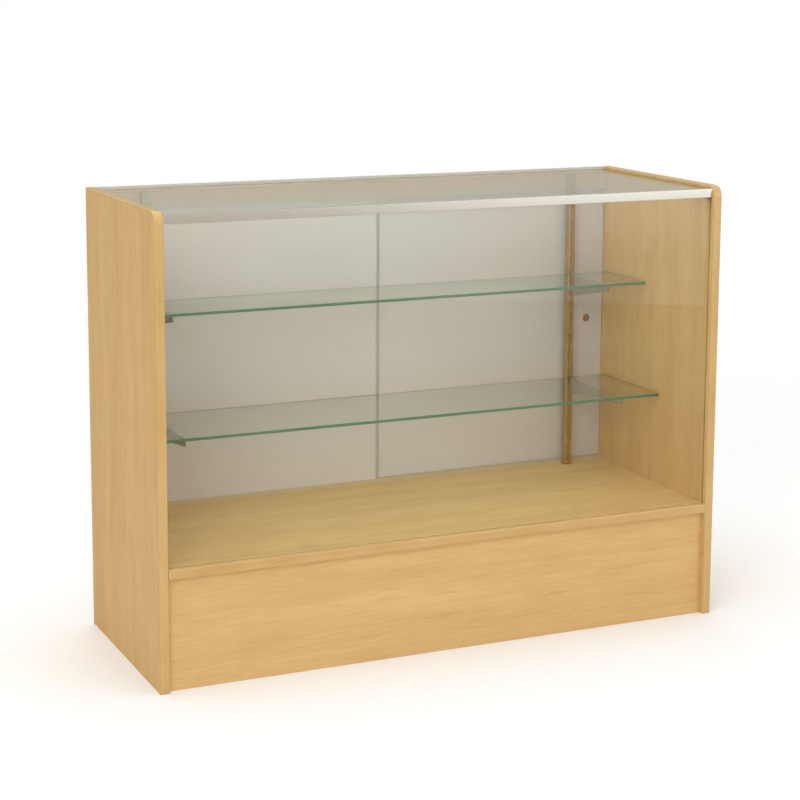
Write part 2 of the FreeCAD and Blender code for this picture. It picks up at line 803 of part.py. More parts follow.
def door(side, channel_y):
    name = "left" if side == LEFT else "right"
    body = new_body(f"{name}_door")
    front = channel_y + (track_channel - s.door_thickness) / 2
    back = front + s.door_thickness
    far = inner_x - s.door_side_gap
    near = -(s.door_overlap_width / 2)
    bottom = lower_track_floor + s.glide_height
    box_feature(body, "Pad", on_side(side, near, far), (front, back), (bottom, door_top))
    pull_x = (far - s.pull_offset) * side
    pull_centre = [(pull_x, s.pull_height)]
    bore = s.pull_cup_diameter + s.pull_bore_gap * 2
    round_feature(body, "Pocket", "Y", front - s.overrun_length, back + s.overrun_length, pull_centre, bore)
    notch_z = (bottom - s.overrun_length, bottom + s.glide_notch_depth)
    glide_starts = (near + s.glide_offset, far - s.glide_offset - s.glide_length)
    for start in glide_starts:
        notch = rectangle(*on_side(side, start, start + s.glide_length), *notch_z)
        outline_feature(body, "Pocket", "Y", front - s.overrun_length, back + s.overrun_length, notch)

    pull = new_body(f"{name}_finger_pull")
    flange_range = (back, back + s.pull_thickness)
    round_feature(pull, "Pad", "Y", *flange_range, pull_centre, s.pull_flange_diameter)
    round_feature(pull, "Pad", "Y", front, back, pull_centre, s.pull_cup_diameter)
    hollow = s.pull_cup_diameter - s.pull_thickness * 2
    hollow_range = (front + s.pull_thickness, back + s.pull_thickness + s.overrun_length)
    round_feature(pull, "Pocket", "Y", *hollow_range, pull_centre, hollow)

    glide = new_body(f"{name}_glide_form", is_piece=False)
    half = s.glide_length / 2
    profile = (
        (-half + s.glide_bevel_width, floor),
        (half - s.glide_bevel_width, floor),
        (half, s.glide_height),
        (half, s.glide_height + s.glide_notch_depth),
        (-half, s.glide_height + s.glide_notch_depth),
        (-half, s.glide_height),
    )
    outline_feature(glide, "Pad", "Y", front, back, profile)
    places = [((start + half) * side, middle, lower_track_floor, POINTS_UP) for start in glide_starts]
    copies(f"{name}_door_glides", glide, places)


# Fasteners

def pan_screw(label, length):
    """Slotted pan head on a plain shank, head seat at the origin and shank along Z."""
    body = new_body(label, is_piece=False)
    centre = [(middle, middle)]
    round_feature(body, "Pad", "Z", -s.screw_head_height, floor, centre, s.screw_head_diameter)
    round_feature(body, "Pad", "Z", floor, length, centre, s.screw_shank_diameter)
    half = s.screw_driver_width / 2
    reach = s.screw_head_diameter
    slot_z = (-s.screw_head_height - s.overrun_length, -s.screw_head_height + s.screw_driver_depth)
    box_feature(body, "Pocket", (-reach, reach), (-half, half), slot_z)
    return body


def cam_lock():
    """Cam disc, face at the origin and body along Z, with a side pocket for the bolt's head."""
    body = new_body("cam_lock_form", is_piece=False)
    centre = [(middle, middle)]
    cam_diameter = s.cam_diameter - s.bore_gap * 2
    round_feature(body, "Pad", "Z", floor, s.cam_length, centre, cam_diameter)
    half = s.cam_slot_width / 2
    bolt_depth = s.board_thickness / 2
    pocket_x = (-half, s.cam_diameter)
    box_feature(body, "Pocket", pocket_x, (-half, half), (bolt_depth - half, bolt_depth + half))
    driver = s.cam_driver_width / 2
    reach = s.cam_diameter / 4
    driver_z = (floor - s.overrun_length, s.cam_driver_depth)
    box_feature(body, "Pocket", (-reach, reach), (-driver, driver), driver_z)
    return body


def cam_bolt():
    """Bolt that runs from its bore in the panel, below the origin, to the middle of the cam."""
    body = new_body("cam_bolt_form", is_piece=False)
    centre = [(middle, middle)]
    round_feature(body, "Pad", "Z", -s.bolt_panel_depth, s.cam_offset, centre, s.bolt_diameter)
    return body


def dowel():
    body = new_body("dowel_form", is_piece=False)
    length = s.dowel_length - s.dowel_panel_depth
    round_feature(body, "Pad", "Z", -s.dowel_panel_depth, length, [(middle, middle)], s.dowel_diameter)
    return body


def end_fittings():
    """Cams, bolts and dowels that pull the deck, the rail and the kick plates to the end panels."""
    cams = []
    bolts = []
    dowels = []
    toward_end = {LEFT: FreeCAD.Rotation(Z_AXIS, 180), RIGHT: FreeCAD.Rotation(Z_AXIS, 0)}
    facing = {"up": POINTS_UP, "front": POINTS_FRONT}
    cam_faces = [(y, deck_bottom, "up") for y in deck_bolt_ys]
    cam_faces.append((rear_y, rail_bolt_z, "front"))
    for side, inward in ((LEFT, POINTS_RIGHT), (RIGHT, POINTS_LEFT)):
        for y, z, way in cam_faces:
            turn = facing[way].multiply(toward_end[side])
            cams.append((cam_x * side, y, z, turn))
        for y, z in bolt_places:
            bolts.append((inner_x * side, y, z, inward))
        for y, z in dowel_places:
            dowels.append((inner_x * side, y, z, inward))
    copies("cam_locks", cam_lock(), cams)
    copies("cam_bolts", cam_bolt(), bolts)
    copies("wooden_dowels", dowel(), dowels)


def screws():
    head_screws = [(standard_x * side, standard_front, rail_screw_z, POINTS_REAR) for side in (LEFT, RIGHT)]
    copies("standard_head_screws", pan_screw("head_screw_form", s.rail_screw_length), head_screws)
    clip_face = inner_x - s.clip_thickness
    clip_screws = [
        (-clip_face, clip_middle_y, clip_screw_z, POINTS_LEFT),
        (clip_face, clip_middle_y, clip_screw_z, POINTS_RIGHT),
    ]
    copies("channel_clip_screws", pan_screw("clip_screw_form", s.clip_screw_length), clip_screws)


# Places that several pieces share

screw_bore = s.screw_shank_diameter + s.bore_gap * 2
cam_bore = s.cam_diameter + s.bore_gap * 2
door_top = upper_track_ceiling - (s.lower_track_height - s.lower_track_web) - s.door_lift_gap
ledge_rear = fascia_back + s.ledge_length
clip_middle_y = ledge_rear - s.clip_rear_gap - s.clip_width / 2
clip_screw_z = ledge_bottom - s.clip_height * CLIP_SCREW_SHARE
standard_x = inner_x - s.standard_offset
standard_front = rail_front - s.standard_depth
standard_top = top_glass_bottom - s.standard_top_gap
foot_top = deck_top + s.foot_thickness
first_slot = foot_top + s.first_slot_height
rail_screw_z = (rail_bottom + standard_top) / 2

end_panel(LEFT)
end_panel(RIGHT)
edge_moulding(LEFT)
edge_moulding(RIGHT)
deck()
deck_moulding()
kick_plate("front_kick_plate", (kick_front, kick_back))
kick_plate("rear_kick_plate", (rail_front, rear_y))
deck_support()
rear_rail()
door_track("lower_door_track", deck_top, lower_track_floor, lower_track_top)
door_track("upper_door_track", rail_bottom, upper_track_ceiling, upper_track_bottom)
front_glass()
front_channel()
clip_turns = (FreeCAD.Rotation(Z_AXIS, 180), FreeCAD.Rotation(Z_AXIS, 0))
clip_places = [
    (inner_x * side, clip_middle_y, ledge_bottom, turn) for side, turn in zip((LEFT, RIGHT), clip_turns)
]
copies("channel_clips", channel_clip(), clip_places)
top_glass()
standard(LEFT)
standard(RIGHT)
foot_places = [(standard_x * side, middle, floor, POINTS_UP) for side in (LEFT, RIGHT)]
copies("standard_feet", standard_foot(), foot_places)
saddle = bracket_pad()
hung_shelf("upper", UPPER_BRACKET_SLOT, s.upper_bracket_height, s.upper_shelf_depth, saddle)
hung_shelf("lower", LOWER_BRACKET_SLOT, s.lower_bracket_height, s.lower_shelf_depth, saddle)
door(LEFT, front_channel_y)
door(RIGHT, rear_channel_y)
end_fittings()
screws()
doc.recompute()


# Checks: every object sound, every cut takes material away

for item in doc.Objects:
    faults = {"Invalid", "Error"} & set(item.State)
    if faults:
        raise RuntimeError(f"{item.Label}: {faults}")
for body, cut in cuts:
    previous = cut.BaseFeature
    if not cut.Shape.Volume < previous.Shape.Volume:
        raise RuntimeError(f"{body.Label}: {cut.Label} removes nothing")
for piece in pieces:
    if piece.Shape.isNull() or not piece.Shape.isValid():
        raise RuntimeError(f"{piece.Label}: bad shape")

os.makedirs("parts", exist_ok=True)
for piece in pieces:
    piece.Shape.exportStep(os.path.join("parts", f"{piece.Label}.step"))
print(len(pieces), "pieces")
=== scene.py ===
import math

import bmesh
import bpy
from mathutils import Matrix, Vector


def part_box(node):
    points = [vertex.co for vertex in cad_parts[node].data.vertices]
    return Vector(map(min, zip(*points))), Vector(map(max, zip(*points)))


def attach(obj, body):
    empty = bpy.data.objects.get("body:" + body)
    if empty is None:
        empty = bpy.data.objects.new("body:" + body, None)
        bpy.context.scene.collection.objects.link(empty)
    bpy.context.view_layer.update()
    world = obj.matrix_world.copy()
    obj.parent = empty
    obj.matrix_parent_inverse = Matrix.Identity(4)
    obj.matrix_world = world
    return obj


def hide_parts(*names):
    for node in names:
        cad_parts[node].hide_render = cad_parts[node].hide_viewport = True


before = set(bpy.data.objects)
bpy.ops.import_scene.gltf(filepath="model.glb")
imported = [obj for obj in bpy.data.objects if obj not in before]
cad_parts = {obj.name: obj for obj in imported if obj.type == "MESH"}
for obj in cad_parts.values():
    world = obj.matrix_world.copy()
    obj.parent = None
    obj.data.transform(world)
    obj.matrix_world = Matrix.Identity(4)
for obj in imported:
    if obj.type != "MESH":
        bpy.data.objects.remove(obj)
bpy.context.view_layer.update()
mm = 0.001


# Camera: stands in front of the case and to its left, a little above the glass top, with a long lens.
# A small shift keeps the upright edges of the case nearly parallel, as the photograph has them.

eye = (-1.6831, -3.6712, 1.3494)
yaw = math.radians(24.43)
pitch = math.radians(8.84)
roll = 0.0049
lens = 89.53
sensor = 36
shift = -0.15

bpy.ops.object.select_all(action="DESELECT")
bpy.ops.object.camera_add(location=eye)
camera = bpy.context.object
heading = Matrix.Rotation(-yaw, 3, "Z")
tilt = Matrix.Rotation(math.pi / 2 - pitch, 3, "X")
camera.rotation_euler = (heading @ tilt @ Matrix.Rotation(roll, 3, "Z")).to_euler()
camera.data.lens = lens
camera.data.sensor_width = sensor
camera.data.shift_y = shift
bpy.context.scene.camera = camera
bpy.context.scene.view_settings.view_transform = "Standard"


# Studio: a pale seamless floor in a pale room, with two large soft lamps in front of the case, one above it
# and one high behind it. Close to the case the floor is plain matt paper that takes its shadow, and further
# off it turns to white.

floor_radius = 4.5
floor_sides = 96
paper = "fbfbfa"
room = "ffffff"
low_room = "a5a292"
mirrored_floor = "98907c"
front_wall = "efe6da"
shadow_reach = 1.0
white_reach = 3.2
room_strength = 0.73
aim = Vector((0, 0, 0.45))


def linear(code):
    """A colour written as sRGB hex, as the linear values that a shader takes."""
    shares = [int(code[start:start + 2], 16) / 255 for start in (0, 2, 4)]
    curve = [share / 12.92 if share <= 0.04045 else ((share + 0.055) / 1.055) ** 2.4 for share in shares]
    return (*curve, 1.0)


def add_node(tree, kind, sockets=(), **settings):
    """Add a node with its settings. Each socket is given a plain value or another node's output."""
    node = tree.nodes.new("ShaderNode" + kind)
    for setting, value in settings.items():
        setattr(node, setting, value)
    for socket, value in dict(sockets).items():
        if isinstance(value, bpy.types.NodeSocket):
            tree.links.new(value, node.inputs[socket])
        else:
            node.inputs[socket].default_value = value
    return node


def blank_material(name):
    """An empty node material and its node tree."""
    material = bpy.data.materials.new(name)
    material.use_nodes = True
    material.node_tree.nodes.clear()
    return material, material.node_tree


# Seamless paper: matt, so it only shows soft shadow
paper_floor, tree = blank_material("seamless_paper")
place = add_node(tree, "TexCoord").outputs["Object"]
distance = add_node(tree, "VectorMath", {0: place}, operation="LENGTH").outputs["Value"]
away = add_node(
    tree,
    "MapRange",
    {"Value": distance, "From Min": shadow_reach, "From Max": white_reach},
    interpolation_type="SMOOTHSTEP",
)
ray = add_node(tree, "LightPath").outputs
seen = add_node(
    tree, "Math", {0: ray["Is Camera Ray"], 1: ray["Is Transmission Ray"]}, operation="ADD", use_clamp=True
)
white_share = add_node(tree, "Math", {0: seen.outputs[0], 1: away.outputs[0]}, operation="MULTIPLY")
matt = add_node(tree, "BsdfDiffuse", {"Color": linear(paper)})
glow = add_node(tree, "Emission", {"Color": linear(room), "Strength": 1.0})
both = add_node(tree, "MixShader", {0: white_share.outputs[0], 1: matt.outputs[0], 2: glow.outputs[0]})
# Glass and metal mirror the floor as one even grey. Seen straight through glass it stays white
bounced = add_node(tree, "Math", {0: ray["Glossy Depth"], 1: 0.5}, operation="GREATER_THAN").outputs[0]
bounced = add_node(tree, "Math", {0: bounced, 1: ray["Is Glossy Ray"]}, operation="MULTIPLY").outputs[0]
mirror_tone = add_node(tree, "Emission", {"Color": linear(mirrored_floor), "Strength": 1.0})
both = add_node(tree, "MixShader", {0: bounced, 1: both.outputs[0], 2: mirror_tone.outputs[0]})
add_node(tree, "OutputMaterial", {"Surface": both.outputs[0]})

bpy.ops.object.select_all(action="DESELECT")
bpy.ops.mesh.primitive_circle_add(vertices=floor_sides, radius=floor_radius, fill_type="NGON")
studio_floor = bpy.context.object
studio_floor.name = "studio_floor"
studio_floor.data.materials.append(paper_floor)

# The room: white where it is seen straight or through glass, and greyer low down in reflections
world = bpy.data.worlds.new("pale_room")
bpy.context.scene.world = world
world.use_nodes = True
tree = world.node_tree
tree.nodes.clear()
# A direction is one long, so a height of 0.2 is 12 degrees above the horizon, and 0.7 is 44
direction = add_node(tree, "TexCoord").outputs["Generated"]
parts = add_node(tree, "SeparateXYZ", {0: direction}).outputs
climb = add_node(
    tree,
    "MapRange",
    {"Value": parts["Z"], "From Min": 0.2, "From Max": 0.7},
    interpolation_type="SMOOTHSTEP",
)
to_front = add_node(tree, "MapRange", {"Value": parts["Y"], "From Min": -0.3, "From Max": -0.7}).outputs[0]
low = add_node(tree, "Mix", {0: to_front, 6: linear(low_room), 7: linear(mirrored_floor)}, data_type="RGBA")
mirrored = add_node(tree, "Mix", {0: climb.outputs[0], 6: low.outputs[2], 7: linear(room)}, data_type="RGBA")
# In front stands a pale wall, whiter to the right, which shows mostly in the channel's upright face
to_right = add_node(tree, "MapRange", {"Value": parts["X"], "From Min": 0.34, "From Max": 0.5}).outputs[0]
wall = add_node(tree, "Mix", {0: to_right, 6: linear(front_wall), 7: linear(room)}, data_type="RGBA")
above = add_node(tree, "MapRange", {"Value": parts["Z"], "From Min": -0.14, "From Max": -0.12}).outputs[0]
wall_share = add_node(tree, "Math", {0: to_front, 1: above}, operation="MULTIPLY").outputs[0]
walled = {0: wall_share, 6: mirrored.outputs[2], 7: wall.outputs[2]}
mirrored = add_node(tree, "Mix", walled, data_type="RGBA")
ray = add_node(tree, "LightPath").outputs
straight = add_node(
    tree, "Math", {0: ray["Is Camera Ray"], 1: ray["Is Transmission Ray"]}, operation="ADD", use_clamp=True
)
soft_light = add_node(tree, "Background", {"Color": linear(room), "Strength": room_strength})
reflection = add_node(tree, "Background", {"Color": mirrored.outputs[2], "Strength": 1.0})
white = add_node(tree, "Background", {"Color": linear(room), "Strength": 1.0})
lit = add_node(
    tree, "MixShader", {0: ray["Is Glossy Ray"], 1: soft_light.outputs[0], 2: reflection.outputs[0]}
)
shown = add_node(tree, "MixShader", {0: straight.outputs[0], 1: lit.outputs[0], 2: white.outputs[0]})
add_node(tree, "OutputWorld", {"Surface": shown.outputs[0]})

# Each lamp's name, place, width in metres and watts, and whether glass and metal mirror it
lamps = (
    ("key_lamp", (-2.8, -3.2, 2.9), 1.8, 42, True),
    ("fill_lamp", (2.6, -3.6, 1.6), 2.2, 21, True),
    ("top_lamp", (-0.3, -0.2, 3.5), 2.4, 36, False),
    ("rear_lamp", (0.6, 3.2, 3.8), 2.0, 26, False),
)
for name, spot, width, watts, in_reflections in lamps:
    bpy.ops.object.light_add(type="AREA", location=spot)
    lamp = bpy.context.object
    lamp.name = name
    lamp.data.size = width
    lamp.data.energy = watts
    # The glass top would mirror the two high lamps as hard white patches
    lamp.visible_glossy = in_reflections
    lamp.rotation_euler = (aim - Vector(spot)).to_track_quat("-Z", "Y").to_euler()


# Case boards: 19 mm particle board faced with maple-print melamine, cut square and joined by cams and dowels.
# The end panels and the hidden centre support run the grain upright, all the other boards along the case.

maple_pale = "deba7e"
maple_dark = "cfa66a"
maple_wisp = "bf965a"
# A flat grey for the rail's top edge, a painted reflection of the glass top
reflection_grey = "d2cec0"
reflection_band_deep = 0.5 * mm
ring_pitch = 11 * mm
pith_lean = 0.09
pith_depth = 0.06
arch_half = 0.28


def maple_melamine(name, grain, painted_reflection_above=None):
    """Maple print under a satin resin face, with its figure along one axis, and a painted grey reflection
    above a height.
    """
    material, tree = blank_material(name)
    place = add_node(tree, "TexCoord").outputs["Object"]
    # The pattern's own Z is the grain. The small shift keeps the arches' middle off the boards' edges
    turn = (0.0, 0.0, 0.0) if grain == "Z" else (0.0, math.radians(90), 0.0)
    shifted = {"Vector": place, "Rotation": turn, "Location": (0.31, 0.17, 0.05)}
    along = add_node(tree, "Mapping", shifted).outputs[0]

    # Broad pale and dark bands, 55 mm across and about 0.8 m long
    bands = add_node(tree, "Mapping", {"Vector": along, "Scale": (18, 18, 1.2)}).outputs[0]
    bands = add_node(tree, "TexNoise", {"Vector": bands, "Scale": 1.0, "Detail": 3.0}).outputs[0]
    # Soft clouds, 30 mm across, which break the bands up
    clouds = add_node(tree, "Mapping", {"Vector": along, "Scale": (34, 34, 9)}).outputs[0]
    clouds = add_node(tree, "TexNoise", {"Vector": clouds, "Scale": 1.0, "Detail": 2.0}).outputs[0]
    # Growth lines, 10 mm across and 250 mm long
    lines = add_node(tree, "Mapping", {"Vector": along, "Scale": (100, 100, 4)}).outputs[0]
    crisp = {"Vector": lines, "Scale": 1.0, "Detail": 4.0, "Roughness": 0.62}
    lines = add_node(tree, "TexNoise", crisp).outputs[0]
    # Pores and ray flecks, two millimetres across and some thirty long
    pores = add_node(tree, "Mapping", {"Vector": along, "Scale": (480, 480, 34)}).outputs[0]
    pores = add_node(tree, "TexNoise", {"Vector": pores, "Scale": 1.0, "Detail": 2.0}).outputs[0]
    # Short darker wisps, 12 mm by 120 mm, where the printed figure thickens
    wisps = add_node(tree, "Mapping", {"Vector": along, "Scale": (80, 80, 8)}).outputs[0]
    wisps = add_node(tree, "TexNoise", {"Vector": wisps, "Scale": 1.0, "Detail": 2.0}).outputs[0]
    wisps = add_node(tree, "MapRange", {"Value": wisps, "From Min": 0.6, "From Max": 0.78, "To Max": 0.45})

    # Plain-sawn arches: growth rings round a pith that leans a little to the board, bent by the bands
    parts = add_node(tree, "SeparateXYZ", {0: along}).outputs
    lean = add_node(tree, "Math", {0: parts["Z"], 1: pith_lean}, operation="MULTIPLY").outputs[0]
    bend = add_node(tree, "MapRange", {"Value": bands, "To Min": -0.035, "To Max": 0.035}).outputs[0]
    across = add_node(tree, "Math", {0: parts["Y"], 1: bend}, operation="ADD").outputs[0]
    across = add_node(tree, "Math", {0: across, 1: arch_half}, operation="PINGPONG").outputs[0]
    deep = add_node(tree, "Math", {0: parts["X"], 1: lean}, operation="ADD").outputs[0]
    deep = add_node(tree, "Math", {0: deep, 1: pith_depth}, operation="ADD").outputs[0]
    radius = add_node(tree, "CombineXYZ", {0: across, 1: deep}).outputs[0]
    radius = add_node(tree, "VectorMath", {0: radius}, operation="LENGTH").outputs["Value"]
    phase = add_node(tree, "Math", {0: radius, 1: 2 * math.pi / ring_pitch}, operation="MULTIPLY").outputs[0]
    rings = add_node(tree, "Math", {0: phase}, operation="SINE").outputs[0]
    tone = add_node(tree, "MapRange", {"Value": rings, "From Min": -1.0, "To Min": -0.05, "To Max": 0.05})

    # Each pattern darkens the print by an amount between its own two, and these add up
    shares = ((bands, 0.15, 0.65), (lines, -0.08, 0.24), (clouds, -0.12, 0.2), (pores, -0.2, 0.2))
    for pattern, least, most in shares:
        span = {"Value": pattern, "From Min": 0.3, "From Max": 0.7, "To Min": least, "To Max": most}
        darker = add_node(tree, "MapRange", span)
        tone = add_node(tree, "Math", {0: tone.outputs[0], 1: darker.outputs[0]}, operation="ADD")
    tone.use_clamp = True
    maple = {0: tone.outputs[0], 6: linear(maple_pale), 7: linear(maple_dark)}
    print_colour = add_node(tree, "Mix", maple, data_type="RGBA")
    wispy = {0: wisps.outputs[0], 6: print_colour.outputs[2], 7: linear(maple_wisp)}
    print_colour = add_node(tree, "Mix", wispy, data_type="RGBA")
    # Above the given height the print gives way to flat grey, a painted reflection
    if painted_reflection_above:
        level = add_node(tree, "SeparateXYZ", {0: place}).outputs["Z"]
        in_reflection_band = add_node(tree, "Math", {0: level, 1: painted_reflection_above}, operation="GREATER_THAN").outputs[0]
        reflection_mix = {0: in_reflection_band, 6: print_colour.outputs[2], 7: linear(reflection_grey)}
        print_colour = add_node(tree, "Mix", reflection_mix, data_type="RGBA")
    gloss = add_node(tree, "MapRange", {"Value": lines, "To Min": 0.42, "To Max": 0.54}).outputs[0]
    relief = add_node(tree, "Bump", {"Height": lines, "Strength": 0.12, "Distance": 0.05 * mm}).outputs[0]
    face = add_node(
        tree,
        "BsdfPrincipled",
        {"Base Color": print_colour.outputs[2], "Roughness": gloss, "IOR": 1.38, "Normal": relief},
    )
    add_node(tree, "OutputMaterial", {"Surface": face.outputs[0]})
    return material


def finish_nodes(material, *names):
    """Give carried-over nodes of the frame their material."""
    for name in names:
        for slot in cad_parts[name].material_slots:
            slot.material = material


# Melamine is a printed paper under resin: soft maple figure with a low, even satin sheen
upright = maple_melamine("maple_melamine_upright", "Z")
finish_nodes(upright, "left_end_panel", "right_end_panel", "deck_support")
lengthwise = maple_melamine("maple_melamine_lengthwise", "X")
finish_nodes(lengthwise, "deck_panel", "front_kick_plate", "rear_kick_plate")
# The rail's top edge is painted flat grey, down to just under the face of the top glass: a painted
# reflection, the grey that the glass top shows beside it
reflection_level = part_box("top_glass")[1].z - reflection_band_deep
finish_nodes(maple_melamine("maple_melamine_rail_painted_reflection", "X", reflection_level), "rear_top_rail")


# Edge mouldings: extruded PVC T-moulding in maple colour, its barbed tongue pressed into a kerf in the board.
# On the end panels one length runs up the front, bends round the top corner and runs back along the top.

moulding_pale = "d2ae76"
moulding_dark = "c49b5e"
cap_depth = 3 * mm
cap_round = 2.2 * mm
cap_steps = 4
corner_outside = 22 * mm
corner_inside = 19 * mm
corner_steps = 14
tongue_depth = 8 * mm
tongue_half = 1 * mm
# The axes by number, as the helpers take them
X, Y, Z = 0, 1, 2


def start_block(name, low, high):
    """A block between two corners, as the start of a piece."""
    low, high = Vector(low), Vector(high)
    bpy.ops.object.select_all(action="DESELECT")
    bpy.ops.mesh.primitive_cube_add(size=1, location=(low + high) / 2, scale=high - low)
    piece = bpy.context.object
    piece.name = name
    piece.data.name = name
    bpy.ops.object.transform_apply(location=True, rotation=True, scale=True)
    return piece


def pick(piece, kind, chosen):
    """Open a piece for editing with only the chosen points, edges or faces selected."""
    bpy.context.view_layer.objects.active = piece
    bpy.ops.object.mode_set(mode="EDIT")
    bpy.ops.mesh.select_mode(type=kind)
    bpy.ops.mesh.select_all(action="DESELECT")
    mesh = bmesh.from_edit_mesh(piece.data)
    parts = {"VERT": mesh.verts, "EDGE": mesh.edges, "FACE": mesh.faces}[kind]
    for part in parts:
        part.select_set(chosen(part))
    mesh.select_flush_mode()
    bmesh.update_edit_mesh(piece.data)


def close():
    """Leave editing."""
    bpy.ops.object.mode_set(mode="OBJECT")


def near(value, goal):
    """True within a hundredth of a millimetre."""
    return abs(value - goal) < 0.01 * mm


def centre(part):
    """The middle of an edge or face."""
    points = [point.co for point in part.verts]
    return sum(points, Vector()) / len(points)


def lies_at(part, **place):
    """True where the middle of an edge or face has the given coordinates."""
    middle = centre(part)
    return all(near(getattr(middle, axis), goal) for axis, goal in place.items())


def at_end(part, axis, low, high):
    """True where the middle of an edge or face is level with either corner along an axis."""
    return near(centre(part)[axis], low[axis]) or near(centre(part)[axis], high[axis])


def runs_along(edge, axis):
    """True for an edge that runs along one axis only."""
    step = edge.verts[1].co - edge.verts[0].co
    return abs(step[axis]) > 0.999 * step.length


def looks(face, axis, way=1):
    """True for a face that looks straight up an axis, or straight down it where way is -1."""
    return way * face.normal[axis] > 0.999


def cut(piece, axis, level):
    """Cut new edges all round a piece, square to an axis."""
    pick(piece, "FACE", lambda face: True)
    point = [0.0, 0.0, 0.0]
    point[axis] = level
    normal = [0.0, 0.0, 0.0]
    normal[axis] = 1.0
    bpy.ops.mesh.bisect(plane_co=point, plane_no=normal)
    close()


def pull(piece, chosen, step, kind="FACE"):
    """Extrude the chosen faces or edges by a step."""
    pick(piece, kind, chosen)
    bpy.ops.mesh.extrude_region_move(TRANSFORM_OT_translate={"value": step})
    close()


def soften(piece, chosen, width, segments):
    """Bevel the chosen edges."""
    pick(piece, "EDGE", chosen)
    bpy.ops.mesh.bevel(offset=width, segments=segments, affect="EDGES", clamp_overlap=True)
    close()


def use_modifier(piece, kind, **settings):
    """Add a modifier and apply it."""
    bpy.ops.object.select_all(action="DESELECT")
    piece.select_set(True)
    bpy.context.view_layer.objects.active = piece
    modifier = piece.modifiers.new(kind, kind)
    for setting, value in settings.items():
        setattr(modifier, setting, value)
    bpy.ops.object.modifier_apply(modifier=modifier.name)


def ease(piece, width, segments, degrees):
    """Bevel every edge that turns by more than an angle."""
    sharp = math.radians(degrees)
    use_modifier(piece, "BEVEL", width=width, segments=segments, limit_method="ANGLE", angle_limit=sharp)


def smooth(piece, degrees=35):
    """Shade the rounded parts smooth and keep the flats flat."""
    bpy.ops.object.select_all(action="DESELECT")
    piece.select_set(True)
    bpy.context.view_layer.objects.active = piece
    bpy.ops.object.shade_smooth_by_angle(angle=math.radians(degrees))
    use_modifier(piece, "WEIGHTED_NORMAL", keep_sharp=True, weight=100)


def hand_over(piece, material, body, slot_name, *nodes):
    """Give a finished piece its material and its body, and hide the nodes it stands for. The slot name is not
    used.
    """
    if not piece.data.materials:
        piece.data.materials.append(material)
    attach(piece, body)
    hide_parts(*nodes)


def maple_pvc(name, streak_scale):
    """Extruded PVC in the maple's colour: faint straight streaks along its length and a waxy gloss."""
    material, tree = blank_material(name)
    place = add_node(tree, "TexCoord").outputs["Object"]
    # Straight streaks, and a slow mottle in patches 110 mm across
    drawn = add_node(tree, "Mapping", {"Vector": place, "Scale": streak_scale}).outputs[0]
    drawn = add_node(tree, "TexNoise", {"Vector": drawn, "Scale": 1.0, "Detail": 3.0, "Roughness": 0.6})
    drawn = drawn.outputs[0]
    mottle = add_node(tree, "TexNoise", {"Vector": place, "Scale": 9.0, "Detail": 2.0}).outputs[0]
    tone = add_node(tree, "Math", {0: drawn, 1: mottle}, operation="MULTIPLY").outputs[0]
    tone = add_node(tree, "MapRange", {"Value": tone, "From Min": 0.08, "From Max": 0.5}).outputs[0]
    maple = {0: tone, 6: linear(moulding_pale), 7: linear(moulding_dark)}
    tint = add_node(tree, "Mix", maple, data_type="RGBA")
    waxy = add_node(tree, "MapRange", {"Value": drawn, "To Min": 0.12, "To Max": 0.2}).outputs[0]
    relief = add_node(tree, "Bump", {"Height": drawn, "Strength": 0.1, "Distance": 0.05 * mm}).outputs[0]
    face = add_node(
        tree,
        "BsdfPrincipled",
        {"Base Color": tint.outputs[2], "Roughness": waxy, "IOR": 1.53, "Normal": relief},
    )
    add_node(tree, "OutputMaterial", {"Surface": face.outputs[0]})
    return material


def on_outside(point, front, top):
    """True on a panel moulding's outer face: up the front, round the bend and back along the top."""
    bend = Vector((0, front + corner_outside, top - corner_outside))
    if point.y > bend.y:
        return near(point.z, top)
    if point.z < bend.z:
        return near(point.y, front)
    return (Vector((0, point.y, point.z)) - bend).length > (corner_outside + corner_inside) / 2


# Streaks 3 mm across: on the panels they run up and back, on the deck's edge from end to end
panel_pvc = maple_pvc("maple_pvc_panel_moulding", (330, 3, 3))
deck_pvc = maple_pvc("maple_pvc_deck_moulding", (3, 330, 330))

for side in ("left", "right"):
    low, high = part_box(f"{side}_edge_moulding")
    board_front = low.y + cap_depth
    board_top = high.z - cap_depth
    middle = (low.x + high.x) / 2
    moulding = start_block(f"{side}_maple_moulding", low, (high.x, board_front, board_top))
    pull(moulding, lambda face: lies_at(face, z=board_top), (0, 0, cap_depth))
    pull(
        moulding,
        lambda face: lies_at(face, y=board_front) and centre(face).z > board_top,
        (0, high.y - board_front, 0),
    )
    # The seams left in the flat faces go, so that both bends can be rolled whole
    pick(moulding, "FACE", lambda face: True)
    bpy.ops.mesh.dissolve_limited(angle_limit=math.radians(1))
    close()
    corners = ((board_front, board_top, corner_inside), (low.y, high.z, corner_outside))
    for corner_y, corner_z, corner_round in corners:
        soften(
            moulding,
            lambda edge: runs_along(edge, X) and lies_at(edge, y=corner_y, z=corner_z),
            corner_round,
            corner_steps,
        )
    # The tongue grows from the strip between two cuts, back from the front and down from the top
    cut(moulding, X, middle - tongue_half)
    cut(moulding, X, middle + tongue_half)
    pull(
        moulding,
        lambda face: looks(face, Y) and lies_at(face, x=middle, y=board_front),
        (0, tongue_depth, 0),
    )
    pull(
        moulding,
        lambda face: looks(face, Z, way=-1) and lies_at(face, x=middle, z=board_top),
        (0, 0, -tongue_depth),
    )
    # The two long outer edges, from the floor round the bend to the back
    soften(
        moulding,
        lambda edge: not runs_along(edge, X)
        and all(near(point.co.x, low.x) or near(point.co.x, high.x) for point in edge.verts)
        and all(on_outside(point.co, low.y, high.z) for point in edge.verts),
        cap_round,
        cap_steps,
    )
    smooth(moulding)
    hand_over(moulding, panel_pvc, "case", "maple_edge", f"{side}_edge_moulding")

